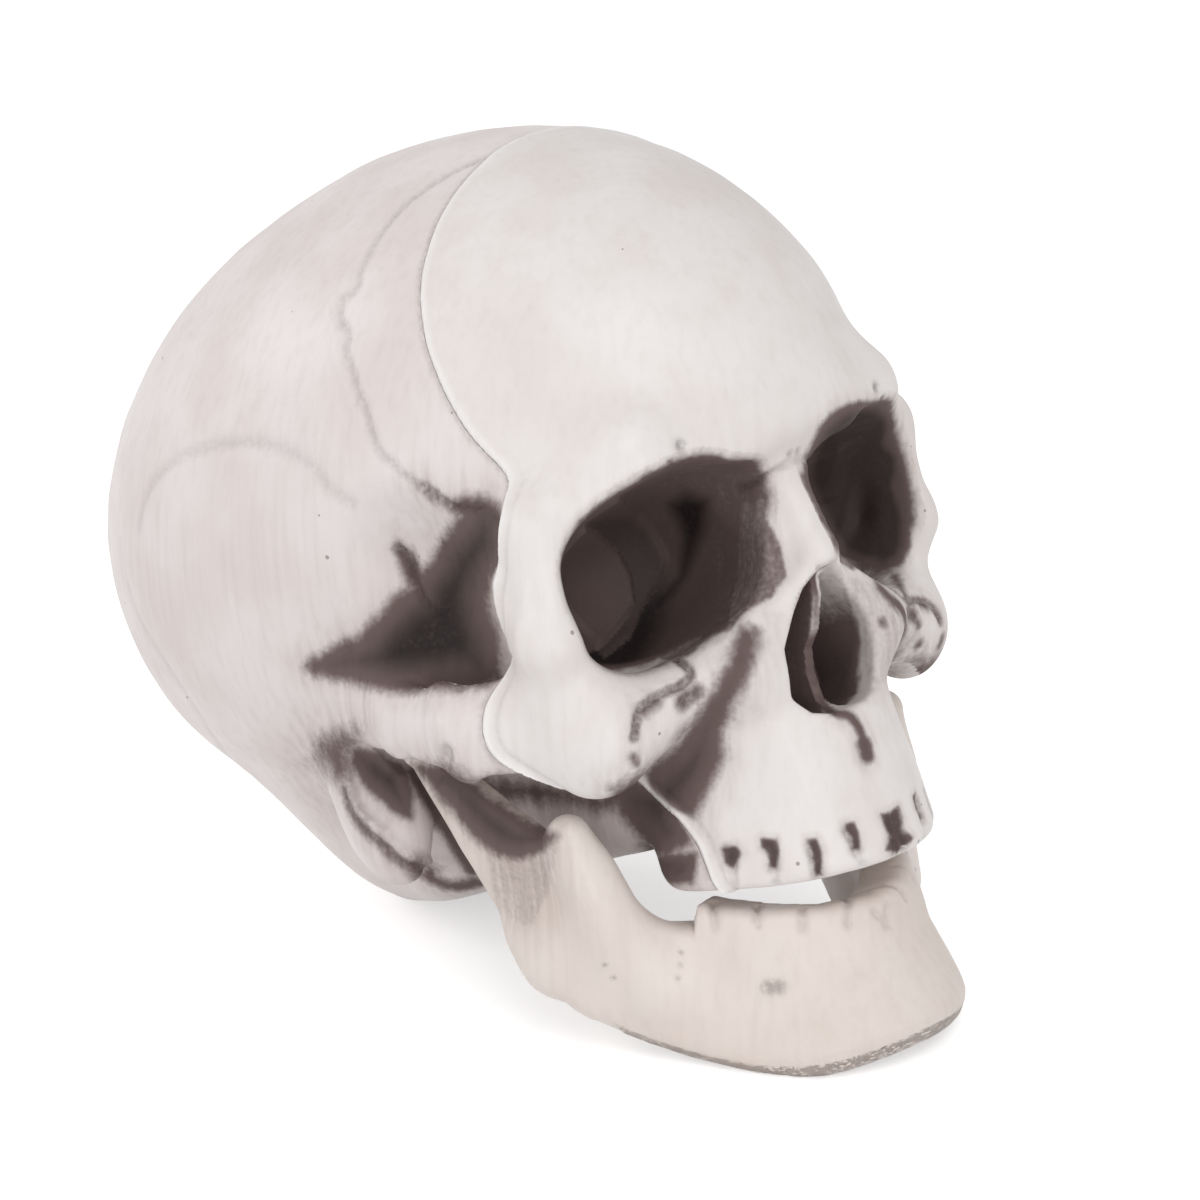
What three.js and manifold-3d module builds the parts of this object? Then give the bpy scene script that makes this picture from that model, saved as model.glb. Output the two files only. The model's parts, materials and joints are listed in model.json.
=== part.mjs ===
// A life-size hollow plastic skull with a hinged lower jaw, at rest on its chin and the back of its head.
// Millimetres. The skull is shaped level about its hinge then leaned back onto the ground.
// Points are written [side, fore, up]: side from the mid-plane, fore towards the face, up towards the crown.

import * as THREE from 'three';
import { mergeVertices } from 'three/addons/utils/BufferGeometryUtils.js';
import Module from 'manifold-3d';

const wasm = await Module();
wasm.setup();

// Braincase
const VAULT_CENTRE = [0, -7, 54];
const VAULT_RADII = [69, 98, 74.5];
const CROWN_CENTRE = [0, -42, 50];
const CROWN_RADII = [71.5, 71, 67];
const NAPE_CENTRE = [0, -44, 2];
const NAPE_RADII = [46, 48, 46];
const BASE_LEVEL = -36;
const BASE_BLOCK_HALF_WIDTH = 33;
const MASTOID_CENTRE = [51, -19, -8];
const MASTOID_RADII = [9, 12, 19];

// Face
const BROW_MID = [0, 79.5, 42];
const BROW_PEAK = [34, 76, 43.5];
const BROW_END = [51.2, 61.5, 36];
const EYE_SIDE = [53.2, 57.3, 14];
const CHEEK_LOW = [50, 51.5, 6];
const CHEEK_CENTRE = [46.5, 51, -4];
const CHEEK_RADII = [8.5, 11, 15];
const NOSE_ROOT = [0, 78.5, 31];
const NOSE_TIP = [0, 82, 14.5];
const NOSE_WING = [9.5, 75, 2];
const ROOT_HOLLOW_CENTRE = [0, 95, 25];
const ROOT_HOLLOW_RADII = [22, 17, 12];
const SOCKET_CENTRE = [31.3, 73.6, 21.3];
const SOCKET_HALF_WIDTH = 21.7;
const SOCKET_HALF_HEIGHT = 16.8;
const SOCKET_DEPTH = 37;
const SOCKET_DROOP = -10;
const SOCKET_CORNER_CENTRE = [13.8, 79, 28.5];
const SOCKET_CORNER_RADII = [7.3, 15, 7.6];

// Nose opening: [up, half width], and where the wall between the nostrils ends in front: [up, fore]
const NOSTRIL_PROFILE = [
  [-18, 5], [-16.5, 9], [-12.5, 12.3], [-7, 12.7], [-2.5, 12.4], [0, 11], [3, 8.9], [8, 5.2], [10.5, 1.5],
];
const NOSTRIL_BACK = 58;
const SEPTUM_FRONT = [
  [-19.4, 76], [-18, 72.3], [-15, 69.5], [-9, 69.5], [-4.3, 71], [-1, 74.6], [5, 78.2], [12, 80],
];
const SEPTUM_HALF_THICKNESS = 1.3;

// Upper jaw and teeth
const UPPER_ARCH_BACK = 42;
const UPPER_ARCH_FRONT = 78.5;
const UPPER_ARCH_HALF_WIDTH = 31.5;
const UPPER_EDGE_LEVEL = -51;
const UPPER_EDGE_RISE = 0.2;
const TOOTH_WIDTH = 8.6;
const TOOTH_HEIGHT = 9;
const TOOTH_GAP = 1.2;
const TEETH_PER_SIDE = 5;

// Cheek arch, front to back: its middle line, its half thickness there, and thickness as a share of height
const ARCH_POINTS = [[50, 47, -2], [60, 27, 2.5], [61, 8, 9], [57, -12, 12]];
const ARCH_HALF_THICKNESS = [4.8, 4.2, 3.2, 3.2];
const ARCH_SQUEEZE = 0.46;

// Lower jaw wall, chin to corner: side, fore, low edge, high edge
const JAW_PATH = [
  [0, 65, -89.8, -57],
  [8.5, 63, -90, -55.8],
  [18.5, 55.5, -89.4, -51.8],
  [25, 45, -85.6, -47.3],
  [26, 43, -84.7, -52],
  [31, 33, -79, -50],
  [37, 22, -69.5, -47],
  [43, 14, -56, -45],
];
const JAW_HALF_THICKNESS = 6.5;
const JAW_PATH_STEPS = 3;
// The front of the jaw leans back by this much between two heights
const JAW_SLANT = 4.2;
const JAW_SLANT_LOW = -84;
const JAW_SLANT_HIGH = -68;
const JAW_SEAM_RISE = 3.6;
const BRANCH_MID = 50;
const BRANCH_LEAN = 0.085;
const BRANCH_HALF_THICKNESS = 3.5;
const BRANCH_FRONT = 40;

// Walls and clearances
const HEAD_WALL = 3.5;
const FACE_WALL = 4.2;
const JAW_WALL = 2.4;
const GLUE_GAP = 0.3;
const FIT_GAP = 0.2;
const PIN_GAP = 0.08;

// Parting line between the front and rear shells, seen from the side as [fore, up]
const SEAM_POINTS = [
  [53.5, -80],
  [53.5, -44],
  [52, -32],
  [44, -20],
  [39, -11],
  [36, -3],
  [38, 6],
  [45, 15],
  [50, 26],
  [59, 38],
  [60, 45],
  [54, 60],
  [48, 82],
  [46, 100],
  [46, 150],
];

// Hinge, measured outwards from the mid-plane
const HINGE_FORE = 2;
const HINGE_UP = 4;
const HINGE_SEAT = 44.5;
const HINGE_POCKET_END = 56;
const HINGE_POCKET_RADIUS = 12;
const HINGE_BOSS_RADIUS = 7;
const HINGE_BOSS_LENGTH = 8;
const WASHER_RADIUS = 6;
const WASHER_THICKNESS = 1.4;
const EAR_RADIUS = 8;
const EAR_THICKNESS = 6;
const PIN_RADIUS = 2;
const PIN_HEAD_RADIUS = 4;
const PIN_HEAD_THICKNESS = 1.6;
const NUT_RADIUS = 5;
const NUT_THICKNESS = 1;
const PIN_END_LENGTH = 1;

// Grid steps of the shaped surfaces and the flats that the skull stands on
const FRONT_STEP = 3.8;
const FRONT_HOLLOW_STEP = 7;
const REAR_STEP = 11;
const REAR_HOLLOW_STEP = 12;
const ARCH_STEP = 5.5;
const JAW_STEP = 4.8;
const FLAT_DEPTH = 0.8;

const { clamp, degToRad } = THREE.MathUtils;

function smoothMin(a, b, blend) {
  const h = Math.max(blend - Math.abs(a - b), 0) / blend;
  return Math.min(a, b) - h * h * blend / 4;
}

function smoothMax(a, b, blend) {
  return -smoothMin(-a, -b, blend);
}

function ellipsoid(p, centre, radii) {
  const q = [p[0] - centre[0], p[1] - centre[1], p[2] - centre[2]];
  const k0 = Math.hypot(q[0] / radii[0], q[1] / radii[1], q[2] / radii[2]);
  const k1 = Math.hypot(q[0] / radii[0] ** 2, q[1] / radii[1] ** 2, q[2] / radii[2] ** 2) + 1e-9;
  return k0 * (k0 - 1) / k1;
}

// A round-ended bar whose radius runs from ra to rb
function bar(p, a, b, ra, rb) {
  const ab = [b[0] - a[0], b[1] - a[1], b[2] - a[2]];
  const pa = [p[0] - a[0], p[1] - a[1], p[2] - a[2]];
  const along = pa[0] * ab[0] + pa[1] * ab[1] + pa[2] * ab[2];
  const t = clamp(along / (ab[0] ** 2 + ab[1] ** 2 + ab[2] ** 2), 0, 1);
  return Math.hypot(pa[0] - t * ab[0], pa[1] - t * ab[1], pa[2] - t * ab[2]) - (ra + (rb - ra) * t);
}

function roundedBox(p, centre, half, radius) {
  const q = [0, 1, 2].map((i) => Math.abs(p[i] - centre[i]) - (half[i] - radius));
  const outside = Math.hypot(Math.max(q[0], 0), Math.max(q[1], 0), Math.max(q[2], 0));
  return outside + Math.min(Math.max(q[0], q[1], q[2]), 0) - radius;
}

// Plan distance to a horseshoe: half an ellipse with straight sides behind it
function horseshoe(p, back, halfWidth, front) {
  const fore = Math.max(p[1] - back, 0);
  const length = front - back;
  const k0 = Math.hypot(p[0] / halfWidth, fore / length) + 1e-9;
  const k1 = Math.hypot(p[0] / halfWidth ** 2, fore / length ** 2) + 1e-9;
  return k0 * (k0 - 1) / k1;
}

function braincase(p) {
  let d = ellipsoid(p, VAULT_CENTRE, VAULT_RADII);
  d = smoothMin(d, ellipsoid(p, CROWN_CENTRE, CROWN_RADII), 18);
  d = smoothMin(d, ellipsoid(p, NAPE_CENTRE, NAPE_RADII), 14);
  const blockHalf = [BASE_BLOCK_HALF_WIDTH, 44, 24];
  return smoothMin(d, roundedBox(p, [0, -2, BASE_LEVEL + 24], blockHalf, 12), 12);
}

// Eye socket hollow: a rounded square that narrows inward and droops at its outer end
const socketAxis = new THREE.Vector3(-0.4, -0.91, -0.06).normalize();
const socketFlat = new THREE.Vector3(0.93, -0.36, 0).normalize();
const socketUp = new THREE.Vector3(0, -0.06, 1).normalize();
const droop = degToRad(SOCKET_DROOP);
const socketIn = socketFlat.clone().cross(socketUp).normalize();
const socketAcross = socketFlat.clone().applyAxisAngle(socketIn, droop);
const socketTall = socketUp.clone().applyAxisAngle(socketIn, droop);

function socket(p) {
  const q = new THREE.Vector3(...p).sub(new THREE.Vector3(...SOCKET_CENTRE));
  const sizes = [SOCKET_HALF_WIDTH, SOCKET_HALF_HEIGHT, SOCKET_DEPTH];
  const reach = [Math.abs(q.dot(socketAcross)), Math.abs(q.dot(socketTall)), Math.max(q.dot(socketAxis), 0)];
  const share = reach.map((r, i) => Math.max(r / sizes[i], 1e-3));
  const norm = (share[0] ** 2.7 + share[1] ** 2.7 + share[2] ** 2.7) ** (1 / 2.7);
  const slope = share.map((v, i) => (v / norm) ** 1.7 / sizes[i]);
  const corner = ellipsoid(p, SOCKET_CORNER_CENTRE, SOCKET_CORNER_RADII);
  return smoothMin((norm - 1) / Math.hypot(...slope), corner, 4);
}

// A profile's value at a height, and how fast it changes there
function profileAt(profile, up) {
  const found = profile.findIndex(([height]) => height >= up);
  const upper = found === -1 ? profile.length - 1 : Math.max(found, 1);
  const [from, to] = profile.slice(upper - 1, upper + 1);
  const change = (to[1] - from[1]) / (to[0] - from[0]);
  return [from[1] + change * (clamp(up, from[0], to[0]) - from[0]), change];
}

// Nose opening: wide below and pointed above, cut straight in
function nostrils(p) {
  const [halfWidth, change] = profileAt(NOSTRIL_PROFILE, p[2]);
  const outline = (p[0] - halfWidth) / Math.hypot(1, change);
  const low = NOSTRIL_PROFILE[0][0];
  const high = NOSTRIL_PROFILE.at(-1)[0];
  return Math.max(outline, p[2] - high, low - p[2], NOSTRIL_BACK - p[1]);
}

function upperEdge(fore) {
  return UPPER_EDGE_LEVEL + UPPER_EDGE_RISE * Math.max(UPPER_ARCH_FRONT - fore, 0);
}

function face(p) {
  let d = smoothMin(bar(p, BROW_END, EYE_SIDE, 6, 6.3), bar(p, EYE_SIDE, CHEEK_LOW, 6.3, 6.5), 5);
  d = smoothMin(d, bar(p, [54, 52, 28], [53.5, 51, 16], 3.5, 3.5), 4);
  d = smoothMin(d, ellipsoid(p, CHEEK_CENTRE, CHEEK_RADII), 8);
  d = smoothMin(d, bar(p, [43, 55, -7], [24, 66, -4], 9, 8), 8);
  const arch = horseshoe(p, UPPER_ARCH_BACK, UPPER_ARCH_HALF_WIDTH, UPPER_ARCH_FRONT);
  const block = smoothMax(arch, Math.max(p[2], upperEdge(p[1]) - p[2]), 4);
  d = smoothMin(d, smoothMax(block, 38 - p[1], 6), 8);
  let nose = bar(p, NOSE_ROOT, NOSE_TIP, 5, 4.5);
  nose = smoothMin(nose, bar(p, NOSE_TIP, NOSE_WING, 3.4, 3.4), 3);
  nose = smoothMin(nose, bar(p, [6.5, 72.5, 27], [17, 69, -4], 4.5, 9), 6);
  return smoothMin(d, nose, 6);
}

// Cheek arch: an upright oval carried from the cheekbone to above the ear
function cheekArch(p) {
  const flat = ([side, fore, up]) => [side, fore, up * ARCH_SQUEEZE];
  const at = flat(p);
  let d = 1e9;
  for (let i = 0; i < ARCH_POINTS.length - 1; i += 1) {
    const ends = [ARCH_HALF_THICKNESS[i], ARCH_HALF_THICKNESS[i + 1]];
    d = smoothMin(d, bar(at, flat(ARCH_POINTS[i]), flat(ARCH_POINTS[i + 1]), ...ends), 3);
  }
  return d;
}

function plainHead(p) {
  let d = braincase(p);
  // temples, deep behind the eye socket and shallow towards the ear
  d = smoothMax(d, -ellipsoid(p, [70, 33, 27], [20, 20, 25]), 8);
  d = smoothMax(d, -ellipsoid(p, [84, 14, 20], [24, 30, 19]), 6);
  // room for the jaw's branch beside the base
  d = smoothMax(d, -roundedBox(p, [56, 16, -32], [15, 28, 36], 6), 5);
  const brow = smoothMin(bar(p, BROW_MID, BROW_PEAK, 6.5, 5.5), bar(p, BROW_PEAK, BROW_END, 5.5, 5.5), 6);
  d = smoothMin(d, brow, 12);
  d = smoothMax(d, -ellipsoid(p, ROOT_HOLLOW_CENTRE, ROOT_HOLLOW_RADII), 6);
  d = smoothMin(d, face(p), 6);
  // hollow of the cheek beside the nose
  d = smoothMax(d, -ellipsoid(p, [32, 72.5, -22], [9.5, 9.5, 11.5]), 8);
  d = smoothMin(d, ellipsoid(p, MASTOID_CENTRE, MASTOID_RADII), 8);
  return smoothMax(d, BASE_LEVEL - p[2] - 2 * Math.max(p[1] - 36, 0), 4);
}

// The head with its eye sockets and nose opening
function head(p) {
  let d = smoothMax(plainHead(p), -socket(p), 3);
  d = smoothMax(d, -nostrils(p), 2);
  // the wall between the nostrils, hollow in front
  const [front, change] = profileAt(SEPTUM_FRONT, p[2]);
  const septumFront = (p[1] - front) / Math.hypot(1, change);
  const septumBack = NOSTRIL_BACK - 2 - p[1];
  const septumEnds = Math.max(p[2] - SEPTUM_FRONT.at(-1)[0], SEPTUM_FRONT[0][0] - 2 - p[2]);
  const septum = Math.max(p[0] - SEPTUM_HALF_THICKNESS, septumFront, septumBack, septumEnds);
  return smoothMin(d, septum, 2);
}

// The jaw path on one side, rounded in plan and along its low edge
function roundedJawPath() {
  const mirrored = JAW_PATH.slice(1).reverse().map(([side, ...rest]) => [-side, ...rest]);
  const whole = [...mirrored, ...JAW_PATH];
  const curve = new THREE.CatmullRomCurve3(whole.map((station) => new THREE.Vector3(...station.slice(0, 3))));
  const path = [];
  for (let i = 0; i < JAW_PATH.length - 1; i += 1) {
    for (let step = 0; step < JAW_PATH_STEPS; step += 1) {
      const share = step / JAW_PATH_STEPS;
      const at = curve.getPoint((mirrored.length + i + share) / (whole.length - 1));
      path.push([...at.toArray(), JAW_PATH[i][3] + share * (JAW_PATH[i + 1][3] - JAW_PATH[i][3])]);
    }
  }
  return [...path, JAW_PATH.at(-1)];
}

const jawPath = roundedJawPath();

function jawSlant(fore, up) {
  const share = clamp((up - JAW_SLANT_LOW) / (JAW_SLANT_HIGH - JAW_SLANT_LOW), 0, 1);
  return JAW_SLANT * share * clamp((fore - 40) / 16, 0, 1);
}

function jawWall(p) {
  const fore = p[1] + jawSlant(p[1], p[2]);
  let best = 1e9;
  let low = 0;
  let high = 0;
  for (let i = 0; i < jawPath.length - 1; i += 1) {
    const a = jawPath[i];
    const b = jawPath[i + 1];
    const run = [b[0] - a[0], b[1] - a[1]];
    const along = (p[0] - a[0]) * run[0] + (fore - a[1]) * run[1];
    const t = clamp(along / (run[0] ** 2 + run[1] ** 2), 0, 1);
    const d = Math.hypot(p[0] - a[0] - t * run[0], fore - a[1] - t * run[1]);
    if (d < best) {
      best = d;
      low = a[2] + t * (b[2] - a[2]);
      high = a[3] + t * (b[3] - a[3]);
    }
  }
  return smoothMax(smoothMax(best - JAW_HALF_THICKNESS, p[2] - high, 4), low - p[2], 9);
}

function jaw(p) {
  const [side, fore, up] = p;
  const plate = Math.abs(side - BRANCH_MID - BRANCH_LEAN * up) - BRANCH_HALF_THICKNESS;
  const rear = (-4 - 0.27 * up - fore) * 0.965;
  const top = (up - 4 + 0.95 * fore) * 0.725;
  const under = (-50 - 0.98 * (fore - 10) - up) * 0.714;
  const corner = (fore - BRANCH_FRONT + 0.9 * (-46 - up)) * 0.74;
  let outline = smoothMax(smoothMax(rear, fore - BRANCH_FRONT, 4), smoothMax(top, under, 4), 6);
  outline = smoothMax(outline, corner, 6);
  let branch = smoothMax(plate, outline, 4);
  branch = smoothMin(branch, bar(p, [48.5, BRANCH_FRONT - 3, -25], [37, 34, -60], 4.5, 6), 6);
  return smoothMin(jawWall(p), branch, 10);
}

// Keeps only the piece of the inside that holds the deepest grid point
function keepOnePiece(values, size) {
  let deepest = 0;
  values.forEach((v, i) => {
    if (v < values[deepest]) deepest = i;
  });
  const steps = [1, size[0], size[0] * size[1]];
  const kept = new Uint8Array(values.length);
  const queue = [deepest];
  kept[deepest] = 1;
  while (queue.length > 0) {
    const at = queue.pop();
    for (const step of [...steps, ...steps.map((s) => -s)]) {
      const next = at + step;
      if (values[next] < 0 && !kept[next]) {
        kept[next] = 1;
        queue.push(next);
      }
    }
  }
  values.forEach((v, i) => {
    if (v < 0 && !kept[i]) values[i] = 1e-3;
  });
}

// Fills grid faces whose corners alternate inside and outside, where a surface would touch itself
function untieFaces(values, size) {
  const steps = [1, size[0], size[0] * size[1]];
  let changed = true;
  while (changed) {
    changed = false;
    for (let i = 0; i < values.length - steps[2] - steps[1]; i += 1) {
      for (const [a, b] of [[0, 1], [1, 2], [2, 0]]) {
        const corners = [i, i + steps[a], i + steps[a] + steps[b], i + steps[b]];
        const inside = corners.map((c) => values[c] < 0);
        if (inside[0] !== inside[2] || inside[1] !== inside[3] || inside[0] === inside[1]) continue;
        const open = corners.filter((c, n) => !inside[n]);
        values[values[open[0]] < values[open[1]] ? open[0] : open[1]] = -1e-3;
        changed = true;
      }
    }
  }
}

function solid(positions, triangles) {
  const vertProperties = new Float32Array(positions);
  const triVerts = new Uint32Array(triangles);
  return new wasm.Manifold(new wasm.Mesh({ numProp: 3, vertProperties, triVerts }));
}

// Grid lines from low to high, closer together inside a zone
function gridLines(low, high, step, zone = [0, 0], zoneStep = step) {
  const lines = [low];
  while (lines[lines.length - 1] < high) {
    const last = lines[lines.length - 1];
    lines.push(last + (last >= zone[0] && last < zone[1] ? zoneStep : step));
  }
  return lines;
}

function mirrored(lines) {
  return [...lines.map((v) => -v).reverse(), ...lines];
}

// The body inside a field: one vertex in each grid cell that the surface crosses, drawn onto the surface
function solidOfField(field, lines) {
  const size = lines.map((l) => l.length);
  const strides = [1, size[0], size[0] * size[1]];
  const at = (x, y, z) => field([Math.abs(x), -y, z], x);
  const cellOf = (i) => [i % size[0], Math.floor(i / strides[1]) % size[1], Math.floor(i / strides[2])];
  const values = new Float64Array(size[0] * size[1] * size[2]);
  for (let i = 0; i < values.length; i += 1) {
    const cell = cellOf(i);
    const border = cell.some((c, axis) => c === 0 || c === size[axis] - 1);
    const value = at(...cell.map((c, axis) => lines[axis][c]));
    values[i] = border ? 1e3 : value || 1e-6;
  }
  untieFaces(values, size);
  keepOnePiece(values, size);

  const vertexOf = new Int32Array(values.length).fill(-1);
  const positions = [];
  const corners = [0, 1, 2, 3, 4, 5, 6, 7].map((c) => [c & 1, (c >> 1) & 1, c >> 2]);
  for (let i = 0; i < values.length - strides[2] - strides[1] - 1; i += 1) {
    const cell = cellOf(i);
    if (cell.some((c, axis) => c === size[axis] - 1)) continue;
    const span = cell.map((c, axis) => lines[axis][c + 1] - lines[axis][c]);
    const sum = [0, 0, 0];
    let crossings = 0;
    for (const from of corners) {
      for (let axis = 0; axis < 3; axis += 1) {
        if (from[axis] === 1) continue;
        const a = i + from[0] + from[1] * strides[1] + from[2] * strides[2];
        const b = a + strides[axis];
        if (values[a] < 0 === values[b] < 0) continue;
        const t = values[a] / (values[a] - values[b]);
        for (let k = 0; k < 3; k += 1) sum[k] += from[k] + (k === axis ? t : 0);
        crossings += 1;
      }
    }
    if (crossings === 0) continue;
    let point = sum.map((v, axis) => lines[axis][cell[axis]] + span[axis] * v / crossings);
    const reach = 0.3 * Math.min(...span);
    for (let pass = 0; pass < 2; pass += 1) {
      const slope = [0, 1, 2].map((axis) => {
        const ahead = point.map((v, k) => v + (k === axis ? 0.3 : 0));
        const behind = point.map((v, k) => v - (k === axis ? 0.3 : 0));
        return (at(...ahead) - at(...behind)) / 0.6;
      });
      const steep = Math.max(Math.hypot(...slope), 0.3);
      const move = clamp(at(...point) / steep, -reach, reach);
      point = point.map((v, k) => v - move * slope[k] / steep);
    }
    vertexOf[i] = positions.length / 3;
    positions.push(...point);
  }

  const triangles = [];
  for (let i = 0; i < values.length; i += 1) {
    for (let axis = 0; axis < 3; axis += 1) {
      const next = i + strides[axis];
      if (next >= values.length || values[i] < 0 === values[next] < 0) continue;
      const u = strides[(axis + 1) % 3];
      const v = strides[(axis + 2) % 3];
      const ring = [i - u - v, i - v, i, i - u].map((c) => vertexOf[c]);
      if (values[i] > 0) ring.reverse();
      triangles.push(ring[0], ring[1], ring[2], ring[0], ring[2], ring[3]);
    }
  }
  return solid(positions, triangles);
}

function solidOfGeometry(geometry) {
  const plain = geometry.clone();
  plain.deleteAttribute('normal');
  plain.deleteAttribute('uv');
  const merged = mergeVertices(plain, 1e-4);
  return solid(merged.attributes.position.array, merged.index.array);
}

// A disc or rod on the hinge axis of one side, from one distance off the mid-plane to another
function rod(sign, from, to, radius, sides = 32) {
  const geometry = new THREE.CylinderGeometry(radius, radius, to - from, sides);
  geometry.rotateZ(Math.PI / 2);
  geometry.translate(sign * (from + to) / 2, -HINGE_FORE, HINGE_UP);
  return solidOfGeometry(geometry);
}

function ring(sign, from, to, radius, hole) {
  return rod(sign, from, to, radius).subtract(rod(sign, from - 1, to + 1, hole, 24));
}

// A tube through rings of points, closed at both ends
function solidOfRings(rings) {
  const sides = rings[0].length;
  const positions = rings.flat(2);
  const triangles = [];
  for (let r = 0; r < rings.length - 1; r += 1) {
    for (let k = 0; k < sides; k += 1) {
      const a = r * sides + k;
      const b = r * sides + (k + 1) % sides;
      triangles.push(a, b, b + sides, a, b + sides, a + sides);
    }
  }
  const last = (rings.length - 1) * sides;
  for (let k = 1; k < sides - 1; k += 1) {
    triangles.push(0, k + 1, k, last, last + k, last + k + 1);
  }
  return solid(positions, triangles);
}

// A flat outline of [fore, up] points carried across the whole width
function acrossWidth(outline, halfWidth) {
  const shape = new THREE.Shape(outline.map(([fore, up]) => new THREE.Vector2(fore, up)));
  const geometry = new THREE.ExtrudeGeometry(shape, { depth: 2 * halfWidth, bevelEnabled: false });
  geometry.translate(0, 0, -halfWidth);
  geometry.applyMatrix4(new THREE.Matrix4().makeBasis(
    new THREE.Vector3(0, -1, 0),
    new THREE.Vector3(0, 0, 1),
    new THREE.Vector3(-1, 0, 0),
  ));
  return solidOfGeometry(geometry);
}

// Everything ahead of the parting line, moved by an offset
function aheadOfSeam(offset) {
  const curve = new THREE.SplineCurve(SEAM_POINTS.map(([fore, up]) => new THREE.Vector2(fore, up)));
  const outline = curve.getPoints(4 * (SEAM_POINTS.length - 1)).map((point) => [point.x + offset, point.y]);
  outline.push([160, 150], [160, -80]);
  return acrossWidth(outline, 120);
}

// Points along a plan curve at even tooth spacing, with the direction that faces out of the mouth
function toothGaps(curve, count) {
  const length = curve.getLength();
  return Array.from({ length: count }, (_, n) => {
    const t = clamp(n * TOOTH_WIDTH / length, 0, 1);
    const point = curve.getPointAt(t);
    const heading = curve.getTangentAt(t);
    return { side: point.x, fore: point.y, level: point.z, outSide: -heading.y, outFore: heading.x };
  });
}

// A thin slot between two teeth, cut into the outer face from low to high
function toothSlot(gap, sign, low, high) {
  const geometry = new THREE.BoxGeometry(TOOTH_GAP, 5, high - low);
  geometry.rotateZ(Math.atan2(gap.outSide, gap.outFore));
  geometry.translate(gap.side, -gap.fore, (low + high) / 2);
  if (sign < 0) geometry.scale(-1, 1, 1);
  const turned = geometry.toNonIndexed();
  if (sign < 0) {
    const p = turned.attributes.position;
    for (let i = 0; i < p.count; i += 3) {
      const a = new THREE.Vector3().fromBufferAttribute(p, i);
      const b = new THREE.Vector3().fromBufferAttribute(p, i + 1);
      p.setXYZ(i, b.x, b.y, b.z);
      p.setXYZ(i + 1, a.x, a.y, a.z);
    }
  }
  return solidOfGeometry(turned);
}

function cutTeeth(body, curve, edge, upwards) {
  let result = body;
  for (const gap of toothGaps(curve, TEETH_PER_SIDE)) {
    const level = edge(gap);
    const low = upwards ? level - TOOTH_HEIGHT : level - 4;
    const high = upwards ? level + 4 : level + TOOTH_HEIGHT;
    for (const sign of gap.side < 1 ? [1] : [1, -1]) {
      result = result.subtract(toothSlot(gap, sign, low, high));
    }
  }
  return result;
}

// Head: outer bodies at two finenesses, their hollows, and the hinge pockets
const frontOuter = solidOfField((p) => smoothMin(head(p), cheekArch(p), 6), [
  mirrored(gridLines(FRONT_STEP / 2, 66, FRONT_STEP)),
  gridLines(-95, -22, FRONT_STEP),
  gridLines(-60, 130, REAR_STEP, [-60, 54], FRONT_STEP),
]);
const rearOuter = solidOfField((p) => smoothMin(plainHead(p), cheekArch(p), 6), [
  mirrored(gridLines(REAR_STEP / 2, 80, REAR_STEP, [38, 80], ARCH_STEP)),
  gridLines(-95, 125, REAR_STEP),
  gridLines(-60, 135, REAR_STEP, [-10, 22], ARCH_STEP),
]);

function hollowOf(field, wall, step) {
  const wide = mirrored(gridLines(step / 2, 80, step));
  return solidOfField((p) => field(p) + wall, [wide, gridLines(-95, 125, step), gridLines(-60, 135, step)]);
}

const frontHollow = hollowOf(head, FACE_WALL, FRONT_HOLLOW_STEP);
const rearHollow = hollowOf(plainHead, HEAD_WALL, REAR_HOLLOW_STEP);

// The front shell: all that is ahead of the parting line, and the eye sockets' cups behind it
function frontRoom(gap) {
  let room = aheadOfSeam(-gap);
  for (const sign of [1, -1]) {
    const wide = gridLines(-8, 72, FRONT_HOLLOW_STEP).map((v) => v * sign);
    if (sign < 0) wide.reverse();
    const lines = [wide, gridLines(-100, -20, FRONT_HOLLOW_STEP), gridLines(-20, 60, FRONT_HOLLOW_STEP)];
    const oneSide = (p, x) => socket([sign * x, p[1], p[2]]) - FACE_WALL - 1 - gap;
    room = room.add(solidOfField(oneSide, lines));
  }
  return room;
}

const bossStart = HINGE_SEAT - HINGE_BOSS_LENGTH;

function finishedHead(outer, hollow) {
  let body = outer;
  let space = hollow;
  for (const sign of [1, -1]) {
    body = body.subtract(rod(sign, HINGE_SEAT, HINGE_POCKET_END, HINGE_POCKET_RADIUS));
    const pocketWall = HINGE_POCKET_RADIUS + HEAD_WALL;
    space = space.subtract(rod(sign, HINGE_SEAT - HEAD_WALL, HINGE_POCKET_END + HEAD_WALL, pocketWall));
    space = space.subtract(rod(sign, bossStart, HINGE_SEAT, HINGE_BOSS_RADIUS));
  }
  return body.subtract(space);
}

const upperCurve = new THREE.EllipseCurve(
  0,
  UPPER_ARCH_BACK,
  UPPER_ARCH_HALF_WIDTH,
  UPPER_ARCH_FRONT - UPPER_ARCH_BACK,
  Math.PI / 2,
  0,
  true,
);
let frontShell = finishedHead(frontOuter, frontHollow).intersect(frontRoom(0));
frontShell = cutTeeth(frontShell, upperCurve, (gap) => upperEdge(gap.fore), false);
let rearShell = finishedHead(rearOuter, rearHollow).subtract(frontRoom(GLUE_GAP));

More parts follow.
